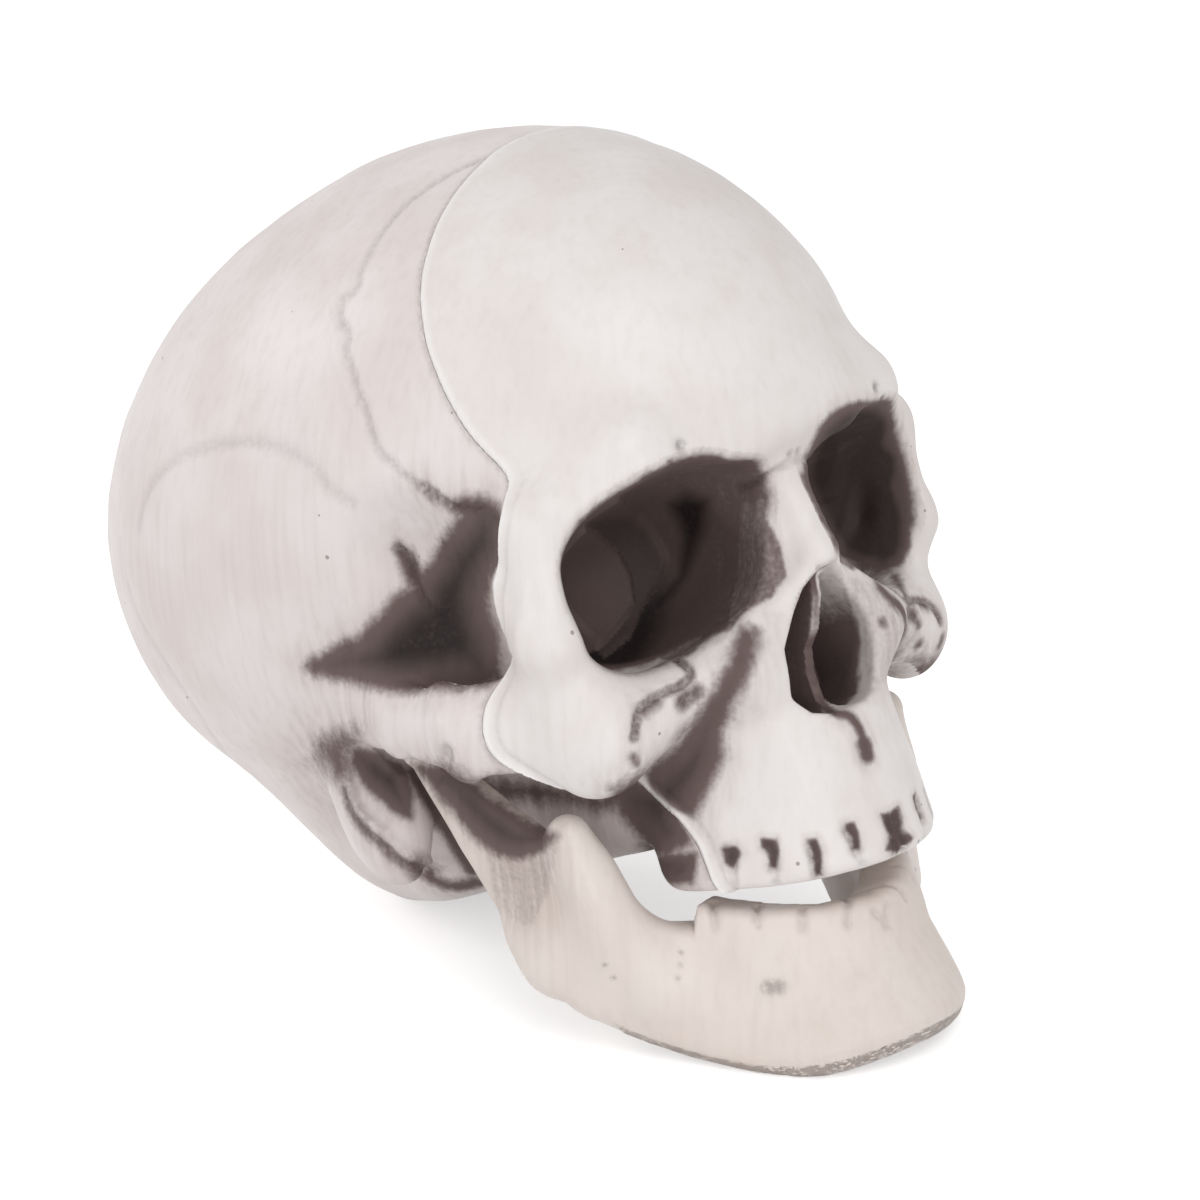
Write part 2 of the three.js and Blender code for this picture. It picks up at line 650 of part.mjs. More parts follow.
// Jaw: solid branches and teeth, a hollow wall, and a strip that closes the wall from below
const earStart = HINGE_SEAT + 2 * FIT_GAP + WASHER_THICKNESS;
const earEnd = earStart + EAR_THICKNESS;
let jawBody = solidOfField(jaw, [
  mirrored(gridLines(JAW_STEP / 2, 62, JAW_STEP)),
  gridLines(-85, 14, JAW_STEP),
  gridLines(-102, 10, JAW_STEP),
]);
for (const sign of [1, -1]) {
  jawBody = jawBody.subtract(rod(sign, HINGE_SEAT - 20, earStart, HINGE_POCKET_RADIUS));
  jawBody = jawBody.subtract(rod(sign, earEnd, earEnd + 20, HINGE_POCKET_RADIUS));
  jawBody = jawBody.add(rod(sign, earStart, earEnd, EAR_RADIUS));
  jawBody = jawBody.subtract(rod(sign, earStart - 2, earEnd + 2, PIN_RADIUS + PIN_GAP, 24));
}

// The jaw path on both sides, as plan points with a unit vector out of the mouth, with its ends cut short
function jawStations(short = 0) {
  const half = jawPath.slice(0, -JAW_PATH_STEPS);
  const [before, end] = half.slice(-2);
  const share = short / Math.hypot(end[0] - before[0], end[1] - before[1]);
  half[half.length - 1] = end.map((v, k) => v + (before[k] - v) * share);
  const whole = [...half.slice(1).reverse().map(([side, ...rest]) => [-side, ...rest]), ...half];
  return whole.map((station, i) => {
    const last = whole[Math.max(i - 1, 0)];
    const next = whole[Math.min(i + 1, whole.length - 1)];
    const run = new THREE.Vector2(next[0] - last[0], next[1] - last[1]).normalize();
    return { station, out: new THREE.Vector2(-run.y, run.x) };
  });
}

// A loft along the jaw's wall: its section is [outward, up] points, clockwise
function alongJaw(stations, sectionOf) {
  return solidOfRings(stations.map(({ station, out }) => {
    const [side, fore, low, high] = station;
    return sectionOf(low, high).map(([outward, up]) => {
      const ahead = fore + out.y * outward;
      return [side + out.x * outward, jawSlant(ahead, up) - ahead, up];
    });
  }));
}

const jawHalfSpace = JAW_HALF_THICKNESS - JAW_WALL;
const jawSpace = alongJaw(jawStations().slice(JAW_PATH_STEPS, -JAW_PATH_STEPS), (low, high) => {
  const lowSpace = low + JAW_SEAM_RISE - 1;
  const highSpace = high - TOOTH_HEIGHT - JAW_WALL;
  return [
    [jawHalfSpace, lowSpace],
    [-jawHalfSpace, lowSpace],
    [-jawHalfSpace, highSpace],
    [jawHalfSpace, highSpace],
  ];
});

// All that lies below the jaw's parting line, which is the room for the base strip
const stripHalfWidth = JAW_HALF_THICKNESS - 1.4;
const belowJawSeam = alongJaw(jawStations(), (low) => [
  [stripHalfWidth, low + JAW_SEAM_RISE],
  [2 * JAW_HALF_THICKNESS, low + JAW_SEAM_RISE],
  [2 * JAW_HALF_THICKNESS, low - JAW_HALF_THICKNESS],
  [-2 * JAW_HALF_THICKNESS, low - JAW_HALF_THICKNESS],
  [-2 * JAW_HALF_THICKNESS, low + JAW_SEAM_RISE],
  [-stripHalfWidth, low + JAW_SEAM_RISE],
]);

// The base strip closes the hollow wall along its rounded lower edge
const jawStrip = alongJaw(jawStations(GLUE_GAP), (low) => [
  [stripHalfWidth, low + JAW_SEAM_RISE - GLUE_GAP],
  [stripHalfWidth - 0.9, low + 2.2],
  [stripHalfWidth - 2.8, low + 0.9],
  [2.8 - stripHalfWidth, low + 0.9],
  [0.9 - stripHalfWidth, low + 2.2],
  [-stripHalfWidth, low + JAW_SEAM_RISE - GLUE_GAP],
]);
let jawShell = jawBody.subtract(jawSpace).subtract(belowJawSeam);

const lowerRow = jawStations().filter(({ station }) => station[0] >= 0).map(({ station, out }) => {
  const [side, fore, , high] = station;
  const ahead = fore + out.y * JAW_HALF_THICKNESS;
  return new THREE.Vector3(side + out.x * JAW_HALF_THICKNESS, ahead - jawSlant(ahead, high), high);
});
const lowerCurve = new THREE.CatmullRomCurve3(lowerRow);
jawShell = cutTeeth(jawShell, lowerCurve, (gap) => gap.level, true);

// Hinge hardware
const pins = [];
const washers = [];
const nuts = [];
for (const sign of [1, -1]) {
  const bore = rod(sign, bossStart - 4, HINGE_SEAT + 2, PIN_RADIUS + PIN_GAP, 24);
  rearShell = rearShell.subtract(bore);
  const headEnd = bossStart - FIT_GAP;
  const nutStart = earEnd + FIT_GAP;
  const pinEnd = nutStart + NUT_THICKNESS + PIN_END_LENGTH;
  const pinHead = rod(sign, headEnd - PIN_HEAD_THICKNESS, headEnd, PIN_HEAD_RADIUS);
  pins.push(pinHead.add(rod(sign, headEnd - 0.5, pinEnd, PIN_RADIUS, 24)));
  const washerStart = HINGE_SEAT + FIT_GAP;
  washers.push(ring(sign, washerStart, washerStart + WASHER_THICKNESS, WASHER_RADIUS, PIN_RADIUS + PIN_GAP));
  nuts.push(ring(sign, nutStart, nutStart + NUT_THICKNESS, NUT_RADIUS, PIN_RADIUS + 0.05));
}

// Lean back until the chin and the back of the head touch the same ground
function pointsOf(body) {
  const { vertProperties } = body.getMesh();
  return vertProperties;
}

function lowest(points, lean) {
  let low = 1e9;
  for (let i = 0; i < points.length; i += 3) {
    low = Math.min(low, points[i + 2] * Math.cos(lean) - points[i + 1] * Math.sin(lean));
  }
  return low;
}

const chinPoints = [...pointsOf(jawShell), ...pointsOf(jawStrip)];
const napePoints = pointsOf(rearShell);
let lean = degToRad(25);
let leanStep = degToRad(20);
for (let i = 0; i < 30; i += 1) {
  leanStep /= 2;
  lean += lowest(chinPoints, lean) < lowest(napePoints, lean) ? leanStep : -leanStep;
}
const ground = lowest(napePoints, lean) + FLAT_DEPTH;
const toGround = new THREE.Matrix4().makeRotationX(-lean).setPosition(0, 0, -ground);

function geometryOf(body, matrix) {
  const { vertProperties, triVerts } = body.getMesh();
  const geometry = new THREE.BufferGeometry();
  geometry.setAttribute('position', new THREE.Float32BufferAttribute(vertProperties, 3));
  geometry.setIndex(new THREE.Uint32BufferAttribute(triVerts, 1));
  return geometry.applyMatrix4(matrix);
}

const below = solidOfGeometry(new THREE.BoxGeometry(600, 800, 60).translate(0, 0, -30));

function standing(body) {
  return solidOfGeometry(geometryOf(body, toGround)).subtract(below);
}

const nodes = {
  front_shell: standing(frontShell),
  rear_shell: standing(rearShell),
  jaw_shell: standing(jawShell),
  jaw_base_strip: standing(jawStrip),
  hinge_pin_left: standing(pins[0]),
  hinge_pin_right: standing(pins[1]),
  friction_washer_left: standing(washers[0]),
  friction_washer_right: standing(washers[1]),
  push_nut_left: standing(nuts[0]),
  push_nut_right: standing(nuts[1]),
};

// Centre the standing skull over the origin, front to back
const box = new THREE.Box3();
const geometries = Object.entries(nodes).map(([name, body]) => {
  const geometry = geometryOf(body, new THREE.Matrix4());
  geometry.computeBoundingBox();
  box.union(geometry.boundingBox);
  return [name, geometry];
});
const shift = -(box.min.y + box.max.y) / 2;

const looks = {
  shell: { color: 0xe4dfdb, roughness: 0.6, metalness: 0 },
  jaw: { color: 0xe2d9cf, roughness: 0.6, metalness: 0 },
  steel: { color: 0x9a9da1, roughness: 0.35, metalness: 1 },
  rubber: { color: 0x2b2b2b, roughness: 0.9, metalness: 0 },
};

function lookOf(name) {
  if (name.includes('washer')) return looks.rubber;
  if (name.includes('pin') || name.includes('nut')) return looks.steel;
  return name.startsWith('jaw') ? looks.jaw : looks.shell;
}

const skull = new THREE.Group();
skull.name = 'skull_decoration';
for (const [name, geometry] of geometries) {
  geometry.translate(0, shift, 0);
  const mesh = new THREE.Mesh(geometry, new THREE.MeshStandardMaterial(lookOf(name)));
  mesh.name = name;
  skull.add(mesh);
}
skull.userData.hinge = new THREE.Vector3(0, -HINGE_FORE, HINGE_UP)
  .applyMatrix4(toGround)
  .add(new THREE.Vector3(0, shift, 0))
  .toArray();
skull.userData.lean = lean;

export default skull;
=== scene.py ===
import json
import math

import bpy
import numpy as np
from mathutils import Matrix, Vector
from mathutils.bvhtree import BVHTree


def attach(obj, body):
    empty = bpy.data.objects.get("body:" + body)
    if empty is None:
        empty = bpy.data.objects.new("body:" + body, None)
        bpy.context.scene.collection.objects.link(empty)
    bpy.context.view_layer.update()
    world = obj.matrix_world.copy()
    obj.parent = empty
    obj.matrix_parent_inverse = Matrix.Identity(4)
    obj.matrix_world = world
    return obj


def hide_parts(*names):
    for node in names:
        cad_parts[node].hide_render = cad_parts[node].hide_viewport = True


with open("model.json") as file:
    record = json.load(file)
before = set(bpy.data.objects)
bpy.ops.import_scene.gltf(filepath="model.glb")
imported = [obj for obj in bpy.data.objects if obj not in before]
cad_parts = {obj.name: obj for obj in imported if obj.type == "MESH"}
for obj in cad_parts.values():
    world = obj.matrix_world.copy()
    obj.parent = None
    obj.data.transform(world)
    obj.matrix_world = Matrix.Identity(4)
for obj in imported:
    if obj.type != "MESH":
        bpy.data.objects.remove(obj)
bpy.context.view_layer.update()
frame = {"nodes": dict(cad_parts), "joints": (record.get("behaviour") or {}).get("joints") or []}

# Millimetres. Points are (side, fore, up) in the level skull until a piece is placed in the frame
LEAN = math.radians(23.659)
HINGE_FORE = 2.0
HINGE_UP = 4.0

# Braincase: ellipsoids have a centre and radii, and boxes a centre, half sizes and a rounding
VAULT = ((0, -7, 54), (69, 98, 74.5))
CROWN = ((0, -42, 50), (71.5, 71, 67))
NAPE = ((0, -44, 2), (46, 48, 46))
BASE_LEVEL, BASE_FRONT = -36, 36
BASE_BLOCK = ((0, -2, BASE_LEVEL + 24), (33, 44, 24), 12)
MASTOID = ((51, -19, -8), (9, 12, 19))
TEMPLE_HOLLOW = ((70, 33, 27), (20, 20, 25))
SIDE_HOLLOW = ((84, 14, 20), (24, 30, 19))
BRANCH_ROOM = ((56, 16, -32), (15, 28, 36), 6)

# Face: bars have both ends and the radii there
FACE_START = 30
BROW_MID, BROW_PEAK, BROW_END = (0, 79.5, 42), (34, 76, 43.5), (51.2, 61.5, 36)
EYE_SIDE = (53.2, 57.3, 14)
CHEEK_LOW = (50, 51.5, 6)
CHEEK = ((46.5, 51, -4), (8.5, 11, 15))
NOSE_ROOT, NOSE_TIP, NOSE_WING = (0, 78.5, 31), (0, 82, 14.5), (9.5, 75, 2)
ROOT_HOLLOW = ((0, 95, 25), (22, 17, 12))
CHEEK_HOLLOW = ((32, 72.5, -22), (9.5, 9.5, 11.5))
SOCKET_LIP = ((54, 52, 28), (53.5, 51, 16), 3.5, 3.5)
CHEEK_BRIDGE = ((43, 55, -7), (24, 66, -4), 9, 8)
NOSE_SIDE = ((6.5, 72.5, 27), (17, 69, -4), 4.5, 9)
SOCKET_CENTRE = (31.3, 73.6, 21.3)
SOCKET_SIZES = (21.7, 16.8, 37)
SOCKET_CORNER = ((13.8, 79, 28.5), (7.3, 15, 7.6))
SOCKET_DROOP = math.radians(-10)
# Nose opening: its half width at heights, and where the wall between the nostrils ends in front
NOSTRIL_PROFILE = (
    (-18, 5), (-16.5, 9), (-12.5, 12.3), (-7, 12.7), (-2.5, 12.4), (0, 11), (3, 8.9), (8, 5.2), (10.5, 1.5),
)
NOSTRIL_BACK = 58
SEPTUM_FRONT = (
    (-19.4, 76), (-18, 72.3), (-15, 69.5), (-9, 69.5), (-4.3, 71), (-1, 74.6), (5, 78.2), (12, 80),
)
SEPTUM_HALF_THICKNESS = 1.3
UPPER_ARCH_BACK, UPPER_ARCH_FRONT, UPPER_ARCH_HALF_WIDTH = 42, 78.5, 31.5
UPPER_EDGE_LEVEL, UPPER_EDGE_RISE = -51, 0.2
UPPER_BLOCK_BACK = 38
ARCH_POINTS = ((50, 47, -2), (60, 27, 2.5), (61, 8, 9), (57, -12, 12))
ARCH_HALF_THICKNESS = (4.8, 4.2, 3.2, 3.2)
ARCH_SQUEEZE = 0.46

# Lower jaw wall, chin to corner: side, fore, low edge, high edge
JAW_PATH = (
    (0, 65, -89.8, -57),
    (8.5, 63, -90, -55.8),
    (18.5, 55.5, -89.4, -51.8),
    (25, 45, -85.6, -47.3),
    (26, 43, -84.7, -52),
    (31, 33, -79, -50),
    (37, 22, -69.5, -47),
    (43, 14, -56, -45),
)
JAW_HALF_THICKNESS = 6.5
# The front of the jaw leans back above the chin, over a stretch of heights and of its length
JAW_SLANT, SLANT_LOW, SLANT_HIGH = 4.2, -84, -68
SLANT_BACK, SLANT_FRONT = 40, 56
JAW_PATH_STEPS = 3
BRANCH_MID, BRANCH_LEAN, BRANCH_HALF_THICKNESS, BRANCH_FRONT = 50, 0.085, 3.5, 40
BRANCH_RIDGE = ((48.5, BRANCH_FRONT - 3, -25), (37, 34, -60), 4.5, 6)

# Walls, seam and hinge
HEAD_WALL, FACE_WALL = 3.5, 4.2
SEAM_POINTS = (
    (53.5, -80), (53.5, -44), (52, -32), (44, -20), (39, -11), (36, -3), (38, 6), (45, 15),
    (50, 26), (59, 38), (60, 45), (54, 60), (48, 82), (46, 100), (46, 150),
)
SEAM_GAP = 0.3
# A bead and a groove along the front shell's edge: how far ahead of the seam, height and half width
SEAM_BEAD, SEAM_GROOVE = (0.75, 0.6, 0.6), (2.7, -0.25, 0.6)
# Going up, the groove fades over a stretch and ends at this height
CHEEK_SEAM_TOP, CHEEK_SEAM_FADE = 55, 20
# The block that holds all ahead of the seam
ROOM_LOW, ROOM_HIGH, ROOM_FRONT, ROOM_HALF_WIDTH = -80, 150, 160, 120
JAW_SEAM_RISE = 3.6
EAR_HOLLOW = ((59, -9.5, -3.5), (5.5, 7, 10))
HINGE_SEAT, POCKET_END, POCKET_RADIUS = 44.5, 56, 12
EAR_START, EAR_END, EAR_RADIUS = 46.3, 52.3, 8
BORE_RADIUS = 2.7

# Grids: half width, fore and up, then the step, and the height above which the crown's step is used
CROWN_STEP = 1.5
FRONT_GRID = (68, (28, 98), (-58, 134), 0.65, 62)
REAR_GRID = (78, (-118, 66), (-58, 134), 1.0, 60)
JAW_GRID = (64, (-16, 84), (-104, 20), 0.7, 20)
HOLLOW_GRID = (78, (-118, 96), (-58, 134), 5.0, 134)
CUP_GRID = (72, (20, 105), (-22, 62), 2.5, 62)


# Distance fields: p holds distance from the mid-plane, fore and up, as arrays. A blend's width comes last

def smooth_min(a, b, blend):
    h = np.maximum(blend - np.abs(a - b), 0) / blend
    return np.minimum(a, b) - h * h * blend / 4


def smooth_max(a, b, blend):
    return -smooth_min(-a, -b, blend)


def length(*parts):
    return np.sqrt(sum(part * part for part in parts))


def ellipsoid(p, centre, radii):
    q = [p[i] - centre[i] for i in range(3)]
    k0 = length(*(q[i] / radii[i] for i in range(3)))
    k1 = length(*(q[i] / radii[i] ** 2 for i in range(3))) + 1e-9
    return k0 * (k0 - 1) / k1


def bar(p, a, b, radius_a, radius_b):
    """A round-ended bar whose radius runs from one end to the other."""
    ab = [b[i] - a[i] for i in range(3)]
    pa = [p[i] - a[i] for i in range(3)]
    t = np.clip(sum(pa[i] * ab[i] for i in range(3)) / sum(v * v for v in ab), 0, 1)
    return length(*(pa[i] - t * ab[i] for i in range(3))) - (radius_a + (radius_b - radius_a) * t)


def rounded_box(p, centre, half, radius):
    q = [np.abs(p[i] - centre[i]) - (half[i] - radius) for i in range(3)]
    outside = length(*(np.maximum(v, 0) for v in q))
    return outside + np.minimum(np.maximum(q[0], np.maximum(q[1], q[2])), 0) - radius


def horseshoe(p, back, half_width, front):
    """Plan distance to half an ellipse with straight sides behind it."""
    fore = np.maximum(p[1] - back, 0)
    k0 = length(p[0] / half_width, fore / (front - back)) + 1e-9
    k1 = length(p[0] / half_width**2, fore / (front - back) ** 2) + 1e-9
    return k0 * (k0 - 1) / k1


def hinge_rod(p, start, end, radius):
    around = length(p[1] - HINGE_FORE, p[2] - HINGE_UP) - radius
    return np.maximum(around, np.maximum(start - p[0], p[0] - end))


def braincase(p):
    d = ellipsoid(p, *VAULT)
    d = smooth_min(d, ellipsoid(p, *CROWN), 18)
    d = smooth_min(d, ellipsoid(p, *NAPE), 14)
    return smooth_min(d, rounded_box(p, *BASE_BLOCK), 12)


def unit(*v):
    return np.array(v) / np.linalg.norm(v)


SOCKET_AXIS = unit(-0.4, -0.91, -0.06)
SOCKET_FLAT = unit(0.93, -0.36, 0)
SOCKET_UP = unit(0, -0.06, 1)
SOCKET_ACROSS = SOCKET_FLAT * math.cos(SOCKET_DROOP) + SOCKET_UP * math.sin(SOCKET_DROOP)
SOCKET_TALL = SOCKET_UP * math.cos(SOCKET_DROOP) - SOCKET_FLAT * math.sin(SOCKET_DROOP)


def socket(p):
    """Eye socket hollow: a rounded square that narrows inward and droops at its outer end."""
    q = [p[i] - SOCKET_CENTRE[i] for i in range(3)]
    along = [sum(q[i] * axis[i] for i in range(3)) for axis in (SOCKET_ACROSS, SOCKET_TALL, SOCKET_AXIS)]
    reach = (np.abs(along[0]), np.abs(along[1]), np.maximum(along[2], 0))
    share = [np.maximum(reach[i] / SOCKET_SIZES[i], 1e-3) for i in range(3)]
    norm = sum(s**2.7 for s in share) ** (1 / 2.7)
    slope = [(share[i] / norm) ** 1.7 / SOCKET_SIZES[i] for i in range(3)]
    corner = ellipsoid(p, *SOCKET_CORNER)
    return smooth_min((norm - 1) / length(*slope), corner, 4)


def profile_at(profile, up):
    """A profile's value at a height, and how fast it changes there."""
    heights, values = np.array(profile, float).T
    return np.interp(up, heights, values), np.interp(up, heights, np.gradient(values, heights))


def nostrils(p):
    """Nose opening: wide below and pointed above, cut straight in."""
    half_width, change = profile_at(NOSTRIL_PROFILE, p[2])
    outline = (p[0] - half_width) / np.sqrt(1 + change * change)
    outline = np.maximum(outline, np.maximum(p[2] - NOSTRIL_PROFILE[-1][0], NOSTRIL_PROFILE[0][0] - p[2]))
    return np.maximum(outline, NOSTRIL_BACK - p[1])


def upper_edge(fore):
    return UPPER_EDGE_LEVEL + UPPER_EDGE_RISE * np.maximum(UPPER_ARCH_FRONT - fore, 0)


def face(p):
    d = smooth_min(bar(p, BROW_END, EYE_SIDE, 6, 6.3), bar(p, EYE_SIDE, CHEEK_LOW, 6.3, 6.5), 5)
    d = smooth_min(d, bar(p, *SOCKET_LIP), 4)
    d = smooth_min(d, ellipsoid(p, *CHEEK), 8)
    d = smooth_min(d, bar(p, *CHEEK_BRIDGE), 8)
    arch = horseshoe(p, UPPER_ARCH_BACK, UPPER_ARCH_HALF_WIDTH, UPPER_ARCH_FRONT)
    block = smooth_max(arch, np.maximum(p[2], upper_edge(p[1]) - p[2]), 4)
    d = smooth_min(d, smooth_max(block, UPPER_BLOCK_BACK - p[1], 6), 8)
    nose = bar(p, NOSE_ROOT, NOSE_TIP, 5, 4.5)
    nose = smooth_min(nose, bar(p, NOSE_TIP, NOSE_WING, 3.4, 3.4), 3)
    nose = smooth_min(nose, bar(p, *NOSE_SIDE), 6)
    return smooth_min(d, nose, 6)


def cheek_arch(p):
    """An upright oval carried from the cheekbone to above the ear."""
    at = (p[0], p[1], p[2] * ARCH_SQUEEZE)
    flat = [(side, fore, up * ARCH_SQUEEZE) for side, fore, up in ARCH_POINTS]
    d = 1e9
    for i in range(len(flat) - 1):
        d = smooth_min(d, bar(at, flat[i], flat[i + 1], *ARCH_HALF_THICKNESS[i : i + 2]), 3)
    return d


def plain_head(p):
    """The head before its eye sockets and nose are cut."""
    d = braincase(p)
    d = smooth_max(d, -ellipsoid(p, *TEMPLE_HOLLOW), 8)
    d = smooth_max(d, -ellipsoid(p, *SIDE_HOLLOW), 6)
    d = smooth_max(d, -rounded_box(p, *BRANCH_ROOM), 5)
    brow = smooth_min(bar(p, BROW_MID, BROW_PEAK, 6.5, 5.5), bar(p, BROW_PEAK, BROW_END, 5.5, 5.5), 6)
    d = smooth_min(d, brow, 12)
    d = smooth_max(d, -ellipsoid(p, *ROOT_HOLLOW), 6)
    d = smooth_min(d, face(p), 6)
    d = smooth_max(d, -ellipsoid(p, *CHEEK_HOLLOW), 8)
    d = smooth_min(d, ellipsoid(p, *MASTOID), 8)
    return smooth_max(d, BASE_LEVEL - p[2] - 2 * np.maximum(p[1] - BASE_FRONT, 0), 4)


def head(p):
    d = smooth_max(plain_head(p), -socket(p), 3)
    d = smooth_max(d, -nostrils(p), 2)
    front, change = profile_at(SEPTUM_FRONT, p[2])
    septum = np.maximum(p[0] - SEPTUM_HALF_THICKNESS, (p[1] - front) / np.sqrt(1 + change * change))
    septum = np.maximum(septum, NOSTRIL_BACK - 2 - p[1])
    septum = np.maximum(septum, np.maximum(p[2] - SEPTUM_FRONT[-1][0], SEPTUM_FRONT[0][0] - 2 - p[2]))
    return smooth_min(d, septum, 2)


def rear_outside(p):
    d = smooth_min(head(p), cheek_arch(p), 6)
    d = smooth_max(d, -ellipsoid(p, *EAR_HOLLOW), 3)
    return np.maximum(d, -hinge_rod(p, HINGE_SEAT, POCKET_END, POCKET_RADIUS))


def bell(distance, width):
    return np.exp(-((distance / width) ** 2))


def seam_ridge(ahead, shape):
    spot, height, width = shape
    return height * bell(ahead - spot, width)


def beside_cheek(p):
    """1 along the low part of the parting line, 0 over the vault."""
    return np.clip((CHEEK_SEAM_TOP - p[2]) / CHEEK_SEAM_FADE, 0, 1)


def front_outside(p):
    """The same head with the bead that stands along the front shell's edge."""
    ahead = seam_distance(p)
    relief = seam_ridge(ahead, SEAM_BEAD) + seam_ridge(ahead, SEAM_GROOVE) * beside_cheek(p)
    return smooth_min(head(p), cheek_arch(p), 6) - relief * np.clip((socket(p) - 3) / 3, 0, 1)


def head_hollow(p):
    """The room inside the head, clear of the walls, the sockets and the hinge pockets."""
    d = head(p) + np.where(p[1] > FACE_START, FACE_WALL, HEAD_WALL)
    d = np.maximum(d, HEAD_WALL - ellipsoid(p, *EAR_HOLLOW))
    around_pocket = hinge_rod(p, HINGE_SEAT - 10, POCKET_END + HEAD_WALL, POCKET_RADIUS + HEAD_WALL)
    return np.maximum(d, -around_pocket)


def rounded_jaw_path():
    """The jaw path on one side, rounded in plan and along its low edge."""
    path = np.array(JAW_PATH, float)
    whole = np.concatenate([path[:0:-1] * (-1, 1, 1, 1), path])[:, :3]
    whole = np.concatenate([[2 * whole[0] - whole[1]], whole, [2 * whole[-1] - whole[-2]]])
    stations = []
    for i in range(len(path) - 1):
        p0, p1, p2, p3 = whole[len(path) + i - 1 : len(path) + i + 3]
        d0, d1, d2 = (math.sqrt(np.linalg.norm(b - a)) for a, b in ((p0, p1), (p1, p2), (p2, p3)))
        leave = ((p1 - p0) / d0 - (p2 - p0) / (d0 + d1) + (p2 - p1) / d1) * d1
        arrive = ((p2 - p1) / d1 - (p3 - p1) / (d1 + d2) + (p3 - p2) / d2) * d1
        for step in range(JAW_PATH_STEPS):
            t = step / JAW_PATH_STEPS
            bend = 3 * (p2 - p1) - 2 * leave - arrive
            at = p1 + t * leave + t * t * bend + t**3 * (2 * (p1 - p2) + leave + arrive)
            stations.append((*at, path[i, 3] + t * (path[i + 1, 3] - path[i, 3])))
    return (*stations, JAW_PATH[-1])


JAW_LINE = rounded_jaw_path()


def jaw_slant(fore, up):
    share = np.clip((up - SLANT_LOW) / (SLANT_HIGH - SLANT_LOW), 0, 1)
    return JAW_SLANT * share * np.clip((fore - SLANT_BACK) / (SLANT_FRONT - SLANT_BACK), 0, 1)


def jaw_wall(p):
    fore = p[1] + jaw_slant(p[1], p[2])
    best, low, high = 1e9, 0, 0
    for a, b in zip(JAW_LINE, JAW_LINE[1:]):
        run = (b[0] - a[0], b[1] - a[1])
        t = np.clip(((p[0] - a[0]) * run[0] + (fore - a[1]) * run[1]) / (run[0] ** 2 + run[1] ** 2), 0, 1)
        d = length(p[0] - a[0] - t * run[0], fore - a[1] - t * run[1])
        near = d < best
        best = np.where(near, d, best)
        low = np.where(near, a[2] + t * (b[2] - a[2]), low)
        high = np.where(near, a[3] + t * (b[3] - a[3]), high)
    return smooth_max(smooth_max(best - JAW_HALF_THICKNESS, p[2] - high, 4), low - p[2], 9)


def jaw(p):
    side, fore, up = p
    plate = np.abs(side - BRANCH_MID - BRANCH_LEAN * up) - BRANCH_HALF_THICKNESS
    # Slanting edges: where each lies, its slope, and the factor that makes it a distance
    rear = (-4 - 0.27 * up - fore) * 0.965
    top = (up - 4 + 0.95 * fore) * 0.725
    under = (-50 - 0.98 * (fore - 10) - up) * 0.714
    corner = (fore - BRANCH_FRONT + 0.9 * (-46 - up)) * 0.74
    outline = smooth_max(smooth_max(rear, fore - BRANCH_FRONT, 4), smooth_max(top, under, 4), 6)
    branch = smooth_max(plate, smooth_max(outline, corner, 6), 4)
    branch = smooth_min(branch, bar(p, *BRANCH_RIDGE), 6)
    d = smooth_min(jaw_wall(p), branch, 10)
    d = np.maximum(d, -hinge_rod(p, HINGE_SEAT - 20, EAR_START, POCKET_RADIUS))
    d = np.maximum(d, -hinge_rod(p, EAR_END, EAR_END + 20, POCKET_RADIUS))
    d = np.minimum(d, hinge_rod(p, EAR_START, EAR_END, EAR_RADIUS))
    return np.maximum(d, -hinge_rod(p, EAR_START - 2, EAR_END + 2, BORE_RADIUS))


# Meshes from fields

def grid_lines(low, high, step, fine_top=math.inf):
    """Grid lines from low to high, with the crown's step above a height."""
    lines = [low]
    while lines[-1] < high:
        lines.append(lines[-1] + (step if lines[-1] < fine_top else CROWN_STEP))
    return np.array(lines, np.float32)


def untie(values):
    """Fills grid faces whose corners alternate inside and outside, where a surface would touch itself."""
    changed = True
    while changed:
        changed = False
        for a, b in ((0, 1), (1, 2), (2, 0)):
            v = np.moveaxis(values, (a, b), (0, 1))
            corners = (v[:-1, :-1], v[1:, :-1], v[1:, 1:], v[:-1, 1:])
            inside = [c < 0 for c in corners]
            tied = (inside[0] == inside[2]) & (inside[1] == inside[3]) & (inside[0] != inside[1])
            if not tied.any():
                continue
            changed = True
            for first, second in ((0, 2), (1, 3)):
                open_pair = tied & ~inside[first]
                smaller = corners[first] < corners[second]
                corners[first][open_pair & smaller] = -1e-3
                corners[second][open_pair & ~smaller] = -1e-3


def field_place(points):
    """Level points (side, -fore, up) as the fields take them."""
    return np.abs(points[:, 0]), -points[:, 1], points[:, 2]


def level_field(field, points):
    return field(field_place(points))


def slope(field, points, reach=0.3):
    parts = []
    for axis in np.eye(3) * reach:
        parts.append((level_field(field, points + axis) - level_field(field, points - axis)) / (2 * reach))
    return np.stack(parts, 1)


